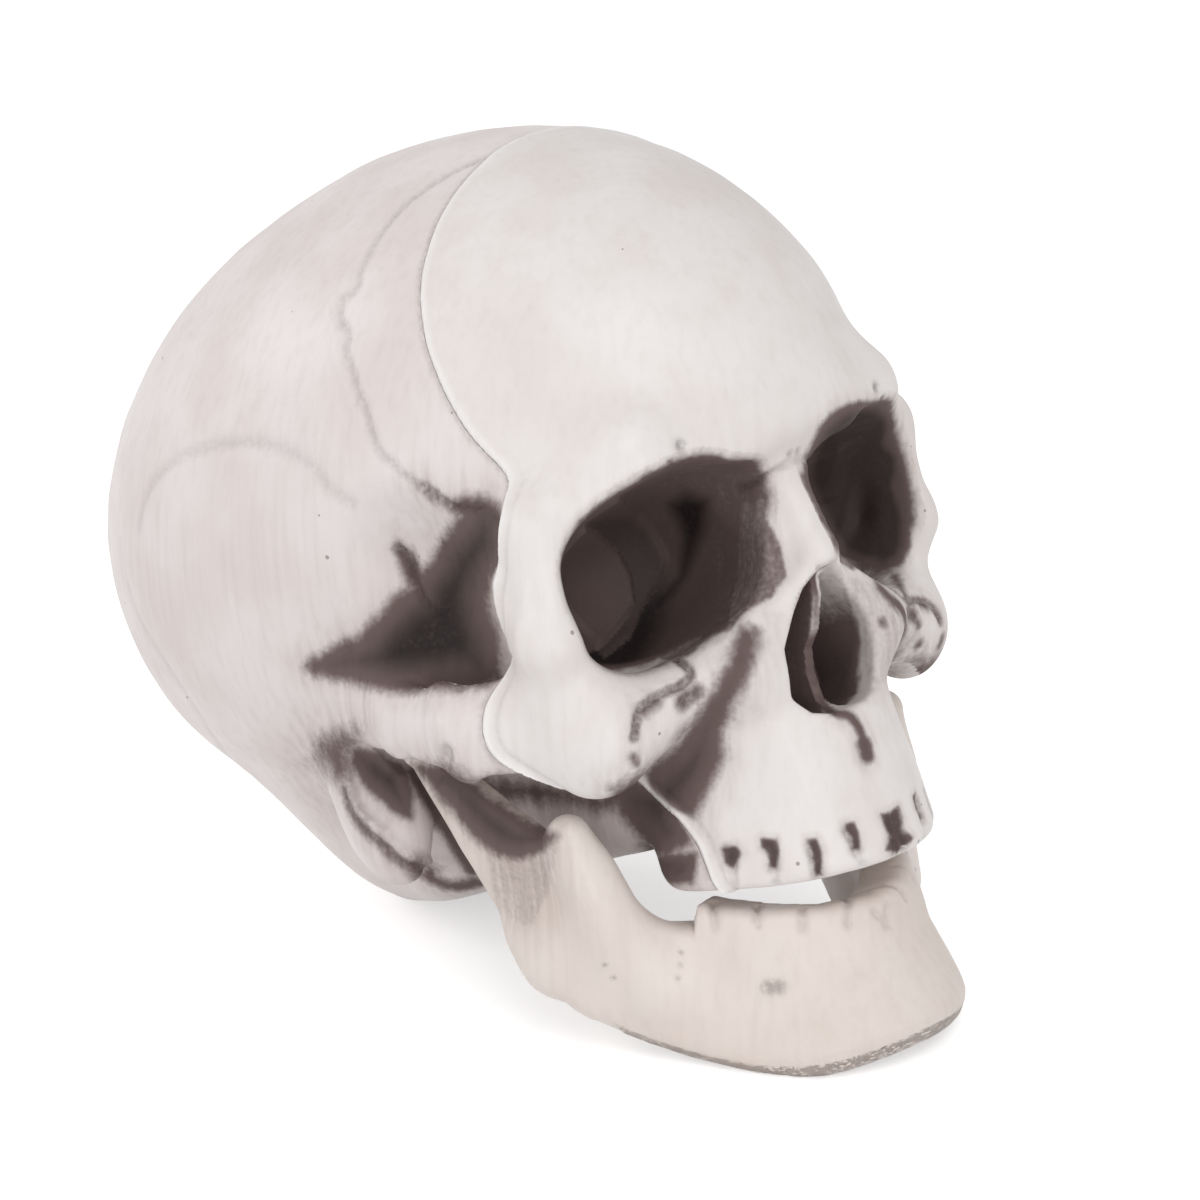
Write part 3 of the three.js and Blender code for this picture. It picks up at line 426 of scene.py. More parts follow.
def surface_net(field, grid):
    """A closed mesh of quads round the inside of a field, as points (side, -fore, up) and faces."""
    width, fore_range, up_range, step, fine_top = grid
    half_width = grid_lines(step / 2, width, step)
    fore = grid_lines(*fore_range, step)
    up = grid_lines(*up_range, step, fine_top)
    lines = (np.concatenate([-half_width[::-1], half_width]), -fore[::-1], up)
    half = field((half_width[:, None, None], -lines[1][None, :, None], up[None, None, :]))
    half = np.where(half == 0, 1e-6, half)
    values = np.concatenate([half[::-1], half], 0)
    for axis in range(3):
        v = np.moveaxis(values, axis, 0)
        v[[0, -1]] = 1e3
    untie(values)

    inside = values < 0
    cell_counts = [n - 1 for n in values.shape]
    corners = np.array(list(np.ndindex(2, 2, 2)))
    count = 0
    for corner in corners:
        spans = tuple(slice(c, c + n) for c, n in zip(corner, cell_counts))
        count = count + inside[spans].astype(np.int8)
    cells = np.argwhere((count > 0) & (count < 8))
    at = {tuple(c): values[tuple((cells + c).T)] for c in corners}
    total, crossings = np.zeros(cells.shape), np.zeros(len(cells))
    for c in corners:
        for axis in range(3):
            if c[axis]:
                continue
            end = c.copy()
            end[axis] = 1
            a, b = at[tuple(c)], at[tuple(end)]
            crossed = (a < 0) != (b < 0)
            t = np.where(crossed, a / np.where(crossed, a - b, 1), 0)
            total[crossed] += c
            total[:, axis] += t
            crossings += crossed
    share = total / crossings[:, None]
    starts = np.stack([lines[axis][cells[:, axis]] for axis in range(3)], 1)
    spans = np.stack([lines[axis][cells[:, axis] + 1] for axis in range(3)], 1) - starts
    points = starts + share * spans
    reach = 0.4 * spans.min(1)
    for _ in range(2):
        gradient = slope(field, points)
        steep = np.maximum(np.linalg.norm(gradient, axis=1), 0.3)
        move = np.clip(level_field(field, points) / steep, -reach, reach)
        points -= (move / steep)[:, None] * gradient

    vertex_of = np.full(cell_counts, -1)
    vertex_of[tuple(cells.T)] = np.arange(len(cells))
    faces = []
    for axis in range(3):
        u, v = np.eye(3, dtype=int)[(axis + 1) % 3], np.eye(3, dtype=int)[(axis + 2) % 3]
        before = np.moveaxis(inside, axis, 0)[:-1]
        after = np.moveaxis(inside, axis, 0)[1:]
        places = np.argwhere(before != after)
        order = np.argsort([axis] + [i for i in range(3) if i != axis])
        places = places[:, order]
        ring = [vertex_of[tuple((places - step).T)] for step in (u + v, v, 0 * u, u)]
        quad = np.stack(ring, 1)
        outward = inside[tuple(places.T)]
        faces.append(np.where(outward[:, None], quad, quad[:, ::-1]))
    return points, np.concatenate(faces).tolist()


def scene_object(name, data):
    obj = bpy.data.objects.new(name, data)
    bpy.context.scene.collection.objects.link(obj)
    return obj


def mesh_object(name, points, faces):
    mesh = bpy.data.meshes.new(name)
    mesh.from_pydata(np.asarray(points).tolist(), [], faces)
    mesh.validate()
    return scene_object(name, mesh)


def boolean(obj, operation, tool):
    """Cuts or joins obj with a tool mesh, which is then removed."""
    modifier = obj.modifiers.new("cut", "BOOLEAN")
    modifier.operation = operation
    modifier.solver = "MANIFOLD"
    modifier.object = tool
    graph = bpy.context.evaluated_depsgraph_get()
    result = bpy.data.meshes.new_from_object(obj.evaluated_get(graph))
    obj.modifiers.clear()
    obj.data = result
    bpy.data.objects.remove(tool)


def smooth_curve(points, steps=8):
    """Points on a smooth curve through the given ones."""
    p = np.array([points[0], *points, points[-1]], float)
    t = (np.arange(steps) / steps)[:, None]
    parts = []
    for a, b, c, d in zip(p, p[1:], p[2:], p[3:]):
        parts.append(b + 0.5 * t * (c - a + t * (2 * a - 5 * b + 4 * c - d + t * (3 * (b - c) + d - a))))
    return np.concatenate([*parts, p[-1:]])


SEAM_CURVE = smooth_curve(SEAM_POINTS)
SEAM_SLANT = np.gradient(SEAM_CURVE[:, 0], SEAM_CURVE[:, 1])


def seam_fore(up):
    return np.interp(up, SEAM_CURVE[:, 1], SEAM_CURVE[:, 0])


def seam_distance(p):
    slant = np.interp(p[2], SEAM_CURVE[:, 1], SEAM_SLANT)
    return (p[1] - seam_fore(p[2])) / np.sqrt(1 + slant * slant)


def ahead_of_seam(offset):
    """A block of everything ahead of the parting line, moved by an offset."""
    up = np.arange(ROOM_LOW, ROOM_HIGH + 1, 2.0)
    outline = [(seam_fore(u) + offset, u) for u in up] + [(ROOM_FRONT, ROOM_HIGH), (ROOM_FRONT, ROOM_LOW)]
    count = len(outline)
    points = [(side, -fore, u) for side in (-ROOM_HALF_WIDTH, ROOM_HALF_WIDTH) for fore, u in outline]
    sides = [(k, (k + 1) % count, count + (k + 1) % count, count + k) for k in range(count)]
    faces = [tuple(range(count))[::-1], tuple(range(count, 2 * count)), *sides]
    return mesh_object("ahead", points, faces)


# Placing

SHARP_ANGLE = math.radians(50)
TO_ROW = (
    Matrix.Translation(Vector(frame["joints"][0]["pos_m"]))
    @ Matrix.Rotation(-LEAN, 4, "X")
    @ Matrix.Scale(0.001, 4)
    @ Matrix.Translation((0, HINGE_FORE, -HINGE_UP))
)


def vertex_values(mesh, name):
    """The place ("co") or direction ("normal") of each vertex."""
    values = np.zeros(len(mesh.vertices) * 3, np.float32)
    mesh.vertices.foreach_get(name, values)
    return values.reshape(-1, 3).astype(float)


def place(obj):
    """Moves a level mesh into the frame, with what would pass through the ground pressed flat."""
    obj.data.transform(TO_ROW)
    co = vertex_values(obj.data, "co")
    co[:, 2] = np.maximum(co[:, 2], 0)
    obj.data.vertices.foreach_set("co", co.astype(np.float32).ravel())
    obj.data.shade_smooth()
    obj.data.set_sharp_from_angle(angle=SHARP_ANGLE)
    obj.data.update()


# The photograph's camera, in the level skull as (side, -fore, up)

CAMERA_AZIMUTH, CAMERA_ROLL = math.radians(40), math.radians(18.5)
CAMERA_DISTANCE = 650.0
CAMERA_AIM = (0, 10, 20)
FOCAL_PIXELS, IMAGE_PIXELS = 2925.0, 1200
CONDYLE, CONDYLE_PIXEL = (-54, 0, 0), (408, 757)
PIXELS_PER_MM = FOCAL_PIXELS / CAMERA_DISTANCE


def level(side, fore, up):
    return np.array((side, -fore, up), float)


CAMERA_BACK = level(-math.sin(CAMERA_AZIMUTH), math.cos(CAMERA_AZIMUTH), 0)
CAMERA_FLAT = level(math.cos(CAMERA_AZIMUTH), math.sin(CAMERA_AZIMUTH), 0)
CAMERA_RIGHT = CAMERA_FLAT * math.cos(CAMERA_ROLL) - level(0, 0, 1) * math.sin(CAMERA_ROLL)
CAMERA_TOP = CAMERA_FLAT * math.sin(CAMERA_ROLL) + level(0, 0, 1) * math.cos(CAMERA_ROLL)


def camera_spot():
    """Where the camera stands so that the jaw's condyle falls on its pixel."""
    aim = level(*CAMERA_AIM)
    reach = level(*CONDYLE) - aim
    depth = CAMERA_DISTANCE - reach @ CAMERA_BACK
    centre = IMAGE_PIXELS / 2
    shift_right = (CONDYLE_PIXEL[0] - centre) * depth / FOCAL_PIXELS - reach @ CAMERA_RIGHT
    shift_up = (centre - CONDYLE_PIXEL[1]) * depth / FOCAL_PIXELS - reach @ CAMERA_TOP
    return aim + CAMERA_BACK * CAMERA_DISTANCE - CAMERA_RIGHT * shift_right - CAMERA_TOP * shift_up


CAMERA_SPOT = camera_spot()


def photo_pixels(points):
    offset = points - CAMERA_SPOT
    depth = -(offset @ CAMERA_BACK)
    across = IMAGE_PIXELS / 2 + FOCAL_PIXELS * (offset @ CAMERA_RIGHT) / depth
    down = IMAGE_PIXELS / 2 - FOCAL_PIXELS * (offset @ CAMERA_TOP) / depth
    return np.stack([across, down], 1)


def on_surface(tree, pixels):
    """The level points that the photograph shows along a curve through some pixels."""
    found = []
    for across, down in smooth_curve(pixels, 4):
        ray = (across - IMAGE_PIXELS / 2) * CAMERA_RIGHT + (IMAGE_PIXELS / 2 - down) * CAMERA_TOP
        hit = tree.ray_cast(Vector(CAMERA_SPOT), Vector(ray - FOCAL_PIXELS * CAMERA_BACK))[0]
        if hit is not None:
            found.append(hit)
    return np.array(found)


# Marks on the plastic, found on the photographed side and mirrored to the other.
# A groove has its depth and half width in mm, its tint from 0 to 1, and photograph pixels along it.

CORONAL_SUTURE = (
    (525, 146), (490, 157), (462, 167), (432, 184), (404, 205), (386, 226), (372, 246), (361, 268),
    (356, 288), (342, 300), (341, 318), (349, 335), (346, 352), (353, 372), (358, 392), (366, 410),
    (371, 430), (380, 452), (393, 464), (405, 475), (423, 487),
)
CORONAL_RIDGE = (
    (349, 268), (344, 288), (330, 302), (329, 320), (337, 338), (335, 354), (342, 374), (347, 394),
    (355, 412),
)
SQUAMOUS_SUTURE = (
    (138, 530), (144, 500), (158, 476), (185, 455), (215, 446), (245, 443), (272, 446), (296, 456),
    (314, 470), (330, 490), (352, 505),
)
NAPE_SUTURE = ((128, 585), (140, 620), (160, 655), (190, 700), (222, 748), (250, 780))
REAR_GROOVES = (
    (0.55, 0.75, 0.45, CORONAL_SUTURE),
    (-0.45, 1.2, 0, CORONAL_RIDGE),
    (0.45, 1.4, 0.18, SQUAMOUS_SUTURE),
    (0.25, 1.2, 0.12, NAPE_SUTURE),
    (1.1, 0.8, 0.9, ((397, 547), (405, 552), (413, 563), (415, 580), (420, 593), (433, 613), (443, 623))),
    (1.0, 0.75, 0.95, ((421, 487), (432, 490), (443, 500), (460, 508), (483, 510), (497, 523), (503, 537))),
    (-1.0, 1.0, 0, ((350, 752), (349, 787), (361, 814), (387, 837), (408, 855), (428, 861), (443, 859))),
    # Under the mastoid's lip: a shallow groove whose tint is painted shade
    (0.5, 1.1, 0.3, ((344, 790), (355, 818), (381, 843), (402, 861), (425, 869), (447, 868))),
    (1.8, 1.3, 0.9, ((446, 752), (447, 760))),
    (0.1, 0.6, 0.6, ((350, 647),)),
)
CHEEK_CRACK = (
    (676, 659), (688, 668), (689, 677), (680, 686), (664, 692), (651, 700), (640, 710), (634, 738),
)
UPPER_TOOTH_GAPS = (
    ((726, 850), (731, 855), (731, 865)),
    ((767, 847), (773, 855), (773, 868)),
    ((811, 847), (815, 861), (818, 876)),
    ((848, 831), (854, 842), (857, 850)),
    ((889, 820), (894, 838), (897, 853)),
)
# A shallow crease runs on from the end of each gap
CREASE_ENDS = ((734, 886), (776, 885), (820, 883), (866, 870), (900, 859))
FRONT_GROOVES = (
    (0.9, 0.7, 0.9, CHEEK_CRACK),
    (1.1, 1.6, 0.5, ((686, 701), (696, 694))),
    (0.9, 1.1, 0.95, ((681, 445),)),
    (0.4, 0.6, 0.5, ((669, 461),)),
    (0.5, 0.8, 0.85, ((791, 454),)),
    (0.6, 0.7, 0.7, ((738, 489), (752, 484), (765, 476), (778, 469), (792, 461), (806, 460))),
    *((0.8, 1.1, 0.9, gap) for gap in UPPER_TOOTH_GAPS),
    *((0.7, 0.8, 0.35, (gap[-1], end)) for gap, end in zip(UPPER_TOOTH_GAPS, CREASE_ENDS)),
)
# Steps in the eye socket's outer wall: how far they stand out in mm, how thick paint on them may be,
# and their outline in photograph pixels
OUTER_STEP = (
    (540, 490), (596, 531), (617, 549), (631, 576), (635, 605), (619, 630), (604, 647), (560, 670),
    (530, 580),
)
INNER_STEP = (
    (590, 470), (646, 520), (662, 542), (669, 559), (660, 584), (650, 597), (630, 640), (604, 660),
    (530, 580),
)
SOCKET_STEPS = ((1.3, 2.0, OUTER_STEP), (1.0, 4.0, INNER_STEP))
# A step begins this deep in the socket, rises to its height over a stretch, and has an edge this wide
STEP_START, STEP_FADE, STEP_EDGE = 3, 4, 0.8
LOWER_TOOTH_GAPS = (
    ((713, 903), (714, 927)),
    ((757, 902), (757, 920)),
    ((802, 902), (803, 929)),
    ((848, 897), (848, 924)),
    ((889, 905), (886, 926)),
)
JAW_GROOVES = (
    (0.5, 0.6, 0.6, ((758, 926),)),
    (0.9, 1.3, 0.75, ((767, 988), (779, 987))),
    *((0.2, 0.5, 0.5, (pore,)) for pore in ((681, 952), (680, 965), (678, 978))),
    (0.3, 0.5, 0.6, ((605, 965),)),
    (0.3, 0.6, 0.5, ((613, 978),)),
    *((0.8, 0.9, 0.3, gap) for gap in LOWER_TOOTH_GAPS),
)

# Dark paint areas: how soft their edge is, how thick the paint may be, and an outline in pixels
FOSSA = (
    (423, 487), (436, 495), (450, 504), (463, 498), (478, 496), (494, 502), (508, 513), (512, 533),
    (512, 556), (502, 566), (492, 580), (488, 596), (491, 614), (498, 632), (501, 654), (500, 680),
    (486, 686), (457, 688), (428, 690), (402, 693), (373, 687), (352, 681), (332, 678), (315, 674),
    (307, 666), (315, 658), (336, 647), (357, 637), (378, 616), (396, 597), (411, 587), (405, 570),
    (394, 551), (399, 545), (409, 553), (421, 570), (432, 560), (440, 543), (452, 528), (461, 516),
    (452, 510), (434, 497),
)
EAR_DARK = (
    (354, 747), (380, 753), (407, 768), (413, 799), (411, 818), (396, 814), (380, 799), (361, 780),
    (352, 762),
)
EAR_REAR = ((321, 745), (344, 735), (352, 733), (350, 762), (348, 778), (336, 776), (319, 757))
UNDER_ARCH = (
    (412, 768), (448, 766), (470, 780), (530, 784), (600, 798), (640, 775), (655, 790), (640, 806),
    (600, 810), (560, 800), (500, 798), (470, 790),
)
MAXILLA = (
    (612, 790), (648, 770), (672, 751), (692, 727), (716, 689), (734, 651), (741, 627), (757, 632),
    (753, 658), (746, 680), (733, 701), (722, 730), (722, 756), (712, 782), (698, 806), (689, 823),
    (694, 841), (672, 854), (653, 858), (640, 837), (616, 812),
)
MOLAR = ((653, 856), (672, 853), (697, 854), (693, 883), (672, 884), (660, 874))
ORBIT = (
    (569, 572), (571, 543), (581, 520), (604, 501), (633, 486), (667, 474), (692, 463), (717, 463),
    (724, 475), (738, 490), (752, 492), (762, 510), (779, 547), (785, 576), (771, 597), (746, 609),
    (733, 626), (708, 638), (688, 655), (671, 659), (633, 657), (604, 647), (583, 626), (575, 597),
)
BRANCH = (
    (415, 766), (450, 766), (469, 780), (498, 803), (523, 820), (548, 830), (556, 836), (544, 851),
    (523, 859), (498, 855), (473, 837), (457, 816), (436, 791),
)
FAR_MAXILLA = (
    (850, 588), (868, 590), (885, 600), (899, 615), (912, 638), (922, 650), (908, 655), (895, 666),
    (880, 675), (866, 650), (856, 615),
)
REAR_AREAS = (
    (1.3, 7, FOSSA), (0.85, 7, EAR_DARK), (2.5, 2, EAR_REAR),
    (1.8, 4, UNDER_ARCH), (1.4, 5, MAXILLA), (0.8, 3, MOLAR),
)
FAR_ORBIT = (
    (802, 478), (806, 455), (821, 426), (837, 409), (858, 401), (879, 403), (892, 413), (896, 426),
    (892, 442), (904, 455), (904, 476), (900, 486), (906, 501), (910, 522), (910, 547), (902, 563),
    (883, 572), (842, 557), (820, 520),
)
ORBIT_DEEP = (
    (652, 499), (683, 482), (721, 492), (714, 537), (697, 585), (669, 628), (638, 628), (633, 594),
    (666, 570), (669, 537),
)
ORBIT_INNER = ((740, 504), (778, 494), (790, 523), (792, 570), (771, 611), (728, 622), (738, 570))
UPPER_TOOTH_MARKS = (
    ((722, 849), (736, 846), (741, 854), (733, 868), (726, 864)),
    ((761, 839), (776, 840), (779, 852), (776, 868), (770, 867), (769, 852), (762, 846)),
    ((808, 840), (817, 839), (822, 852), (821, 875), (816, 875), (813, 856)),
    ((845, 824), (854, 822), (859, 833), (859, 849), (853, 849), (852, 836), (846, 831)),
    ((881, 814), (891, 813), (897, 824), (904, 838), (899, 852), (886, 850), (890, 836), (885, 827)),
    ((907, 793), (914, 790), (924, 807), (926, 821), (917, 818)),
)
FRONT_AREAS = (
    (0.5, 0.4, ORBIT), (0.7, 9, ORBIT_DEEP), (1.4, 6, MAXILLA), (0.8, 3, MOLAR),
    *((0.4, 3, mark) for mark in UPPER_TOOTH_MARKS),
)
FRONT_FAR_AREAS = ((1.5, -1.2, FAR_MAXILLA), (0.6, 5, FAR_ORBIT))
RAMUS = ((498, 845), (545, 850), (540, 885), (528, 912), (512, 905), (502, 880))
JAW_AREAS = ((1.1, 7, BRANCH), (2.0, -1.0, RAMUS))

# Dark strokes, of paint and, behind the jaw branch and under the mastoid's lip, of painted shade: how sharp
# their edge is, radius in mm and photograph pixels along them
REAR_STROKES = (
    # Painted shade under the mastoid's lip
    (0.8, 0.9, ((344, 790), (355, 819), (381, 844), (402, 862), (420, 869))),
    (0.7, 1.8, ((415, 864), (434, 880), (457, 887), (477, 882))),
    # Painted shade on the head, behind the jaw branch
    (0.9, 1.7, ((413, 774), (424, 792), (436, 813), (449, 834), (460, 852), (471, 870))),
)
FRONT_STROKES = (
    (1.0, 1.3, ((684, 703), (697, 693))),
    (1.8, 0.7, CHEEK_CRACK),
    (1.0, 0.9, ((643, 711), (656, 701))),
    (1.2, 0.5, ((633, 756), (636, 764))),
    (1.0, 1.3, ((750, 489), (756, 482))),
)
# Strokes that are on the photographed side only
FRONT_SPOTS = (
    (1.6, 1.0, ((820, 700), (832, 712), (848, 715), (858, 726), (863, 741), (868, 756))),
    (1.6, 1.7, ((864, 744), (867, 755))),
    (1.0, 1.4, ((833, 632),)),
    (1.0, 1.8, ((837, 672),)),
    (1.0, 0.8, ((883, 622),)),
    (1.0, 0.9, ((919, 645),)),
    (1.0, 0.6, ((894, 576), (908, 601), (919, 626))),
)
# Where the edge of the nose opening lies, fore at heights
NOSE_EDGE = (
    (-18, 72), (-15, 71.2), (-12.4, 70.8), (-6.8, 74), (-2.3, 74.4), (0, 75.7), (2.7, 77.7), (8, 81),
    (11, 84),
)
NO_PAINT = -20.0
# How thick paint may be: in the eye socket by how far fore, on its inner side, in the nose, on the nose's
# far wall at heights, on the wall between the nostrils and in the temple
SOCKET_PAINT = ((36, 8.0), (44, 3.0), (56, 0.9))
INNER_PAINT, NOSE_PAINT, SEPTUM_PAINT, TEMPLE_PAINT = 0.4, 3.5, 1.0, 3.0
FAR_NOSE_PAINT = ((-9, 3.5), (-1, 0.6), (8, -1.5))
# How uneven the brush leaves the edges of outlined paint and of paint in hollows
AREA_ROUGH, HOLLOW_ROUGH = 0.35, 0.4
# Along the seam: where paint is rubbed off the bead, partly wear and partly a painted highlight; a painted
# highlight, paler than the plastic, on the bead; and painted shade lines behind the bead and in the groove
SEAM_WORN_AND_LIT, SEAM_HIGHLIGHT = (SEAM_BEAD[0], 1, 1.1), (SEAM_BEAD[0], 0.6, 0.45)
SEAM_SHADE, GROOVE_SHADE = (-0.5, 1, 0.5), (SEAM_GROOVE[0], 0.5, 0.5)
SEAM_WEAR_AND_HIGHLIGHT_DEPTH, SEAM_SHADE_TINT = 3.5, 0.3
BRUSH_ALONG = level(0, 0.6, 0.78)
BRUSH_STRETCH, BRUSH_SIZE, PATCH_SIZE = 0.8, 1.8, 4.0
# Unevenness of the plastic: height and size in mm, and a seed
UNEVEN = ((0.28, 16, 1), (0.1, 5, 2))


def folded(points, values=None):
    """Points, or directions at them, with both sides brought to the photographed one."""
    turn = np.where(points[:, :1] > 0, (-1, 1, 1), (1, 1, 1))
    return (points if values is None else values) * turn


def path_distance(points, path, reach=12.0):
    """Distance to a polyline, up to a reach."""
    distance = np.full(len(points), reach)
    near = np.all((points > path.min(0) - reach) & (points < path.max(0) + reach), axis=1)
    for a, b in zip(path, path[1:] if len(path) > 1 else path):
        run = b - a
        t = np.clip((points[near] - a) @ run / max(run @ run, 1e-9), 0, 1)
        found = np.linalg.norm(points[near] - a - t[:, None] * run, axis=1)
        distance[near] = np.minimum(distance[near], found)
    return distance


def outline_depth(pixels, outline):
    """How far pixels lie inside a closed outline, negative outside."""
    shape = np.array(outline, float)
    nearest, inside = np.full(len(pixels), 1e6), np.zeros(len(pixels), bool)
    for a, b in zip(shape, np.roll(shape, -1, 0)):
        run = b - a
        t = np.clip((pixels - a) @ run / (run @ run), 0, 1)
        nearest = np.minimum(nearest, np.linalg.norm(pixels - a - t[:, None] * run, axis=1))
        spans = (a[1] > pixels[:, 1]) != (b[1] > pixels[:, 1])
        crossing = a[0] + (pixels[:, 1] - a[1]) * run[0] / (run[1] or 1)
        inside ^= spans & (pixels[:, 0] < crossing)
    return np.where(inside, nearest, -nearest)


def value_noise(points, size, seed):
    """Smooth noise between -1 and 1 that changes over about one size."""
    place_in = points / size + 31.7 * seed
    cell = np.floor(place_in).astype(np.int64)
    t = place_in - cell
    t = t * t * (3 - 2 * t)
    total = 0
    for corner in np.ndindex(2, 2, 2):
        c = cell + corner
        h = c[:, 0] * 374761393 + c[:, 1] * 668265263 + c[:, 2] * 1440662683
        h = (h ^ (h >> 13)) * 1274126177
        weight = np.prod(np.where(corner, t, 1 - t), axis=1)
        total = total + weight * (((h ^ (h >> 16)) & 0xFFFF) / 32768 - 1)
    return total


def brush_noise(points):
    """Noise drawn out along the brush strokes."""
    along = points @ BRUSH_ALONG
    squeezed = points - (BRUSH_STRETCH * along)[:, None] * BRUSH_ALONG
    return value_noise(squeezed, BRUSH_SIZE, 3) + 0.5 * value_noise(points, PATCH_SIZE, 4)


def carved(points, field, grooves):
    """A net's points with an uneven surface and its grooves pressed in."""
    normals = slope(field, points)
    normals /= np.maximum(np.linalg.norm(normals, axis=1, keepdims=True), 1e-6)
    depth = sum(height * value_noise(points, size, seed) for height, size, seed in UNEVEN)
    for groove, width, _, path in grooves:
        depth += groove * bell(path_distance(folded(points), path), width)
    return points - normals * depth[:, None]


def stepped(points):
    """The front net with the eye socket's outer wall stepped out."""
    at = field_place(points)
    deep = np.clip((-plain_head(at) - STEP_START) / STEP_FADE, 0, 1) * (np.abs(socket(at)) < 1.5)
    pixels = photo_pixels(folded(points))
    rise = sum(
        height * np.clip(outline_depth(pixels, outline) / PIXELS_PER_MM / STEP_EDGE, 0, 1)
        for height, _, outline in SOCKET_STEPS
    )
    return points + slope(front_outside, points) * (rise * deep)[:, None]


def traced_net(field, grid, grooves):
    """A field's net, a tree to look its points up in, and grooves with level points for their pixels."""
    points, faces = surface_net(field, grid)
    tree = BVHTree.FromPolygons(points.tolist(), faces)
    found = [(*shape, folded(on_surface(tree, pixels))) for *shape, pixels in grooves]
    return points, faces, tree, found


def set_attribute(obj, name, values):
    attribute = obj.data.attributes.new(name, "FLOAT", "POINT")
    attribute.data.foreach_set("value", np.asarray(values, np.float32))


def area_cover(points, normals, areas, rough):
    """Paint depth inside outlines seen from the photograph's side."""
    facing = np.sum(normals * (CAMERA_SPOT - points), axis=1) > 0
    pixels = photo_pixels(points)
    cover = np.full(len(points), NO_PAINT)
    for soft, most, outline in areas:
        depth = outline_depth(pixels, outline) / PIXELS_PER_MM / soft + AREA_ROUGH * rough
        cover = np.maximum(cover, np.where(facing, np.minimum(depth, most), NO_PAINT))
    return cover


def paint(obj, tree, grooves, areas, strokes=(), far_areas=(), spots=(), hollows=None, seam=True):
    """Stores each vertex's depth in dark paint and painted shade, in mm, its share of dark lines and of
    painted seam shade, and its share of the seam's painted highlight.
    """
    points, normals = vertex_values(obj.data, "co"), vertex_values(obj.data, "normal")
    near_side = folded(points)
    rough = brush_noise(points)
    cover = area_cover(near_side, folded(points, normals), areas, rough)
    far_cover = area_cover(points, normals, far_areas, rough)
    cover = np.maximum(cover, np.where(points[:, 0] > 0, far_cover, NO_PAINT))
    for sharp, radius, along in strokes:
        reach = path_distance(near_side, folded(on_surface(tree, along)))
        cover = np.maximum(cover, sharp * (radius - reach))
    for sharp, radius, along in spots:
        cover = np.maximum(cover, sharp * (radius - path_distance(points, on_surface(tree, along))))
    if hollows is not None:
        cover = np.maximum(cover, hollows(points))
    lines, painted_highlight = np.zeros(len(points)), np.zeros(len(points))
    for _, width, tint, path in grooves:
        lines = np.maximum(lines, tint * bell(path_distance(near_side, path), width))
    if seam:
        at = field_place(points)
        ahead, outside = seam_distance(at), socket(at) > 4
        # Paint rubbed off the bead: partly wear, partly a painted highlight on dark areas
        worn_and_lit = seam_ridge(ahead, SEAM_WORN_AND_LIT) * outside
        cover = np.where(cover > -3, cover - worn_and_lit * SEAM_WEAR_AND_HIGHLIGHT_DEPTH, cover)
        # Painted shade lines behind the bead and in the groove
        seam_shade = seam_ridge(ahead, SEAM_SHADE) + seam_ridge(ahead, GROOVE_SHADE) * beside_cheek(at)
        lines = np.maximum(lines, SEAM_SHADE_TINT * seam_shade * outside)
        # A painted highlight on the bead, paler than the plastic
        painted_highlight = seam_ridge(ahead, SEAM_HIGHLIGHT) * outside
    set_attribute(obj, "paint", cover)
    set_attribute(obj, "lines", lines)
    set_attribute(obj, "painted_highlight", painted_highlight)


def face_hollows(points):
    """Paint inside the eye sockets, the nose and the temples, thin on the inner sides."""
    p = field_place(points)
    rough = HOLLOW_ROUGH * brush_noise(points)
    most, _ = profile_at(SOCKET_PAINT, p[1] - 0.35 * p[0])
    pixels = photo_pixels(folded(points))
    for _, most_here, outline in ((0, INNER_PAINT, ORBIT_INNER), *SOCKET_STEPS):
        most = np.where(outline_depth(pixels, outline) > 0, np.minimum(most, most_here), most)
    eyes = np.where(socket(p) < 2, np.minimum(2.2 * (-plain_head(p) - 1) + rough, most), NO_PAINT)
    edge, _ = profile_at(NOSE_EDGE, p[2])
    far_wall, _ = profile_at(FAR_NOSE_PAINT, p[2])
    most = np.where(points[:, 0] > 0, far_wall, NOSE_PAINT)
    most = np.where(p[0] < SEPTUM_HALF_THICKNESS + 0.6, np.minimum(most, SEPTUM_PAINT), most)
    nose = np.where(nostrils(p) < 1.2, np.minimum(edge - p[1] - 0.8 + rough, most), NO_PAINT)
    temple = np.where((seam_distance(p) < -0.5) & (socket(p) > 1.5), TEMPLE_PAINT, NO_PAINT)
    return np.where(p[1] > FACE_START, np.maximum(np.maximum(eyes, nose), temple), NO_PAINT)


# Pieces

def front_room(offset):
    """The front shell's room: all ahead of the parting line, and the eye sockets' cups."""
    room = ahead_of_seam(offset)
    cups = surface_net(lambda p: socket(p) - FACE_WALL - 1 + offset, CUP_GRID)
    boolean(room, "UNION", mesh_object("cups", *cups))
    return room


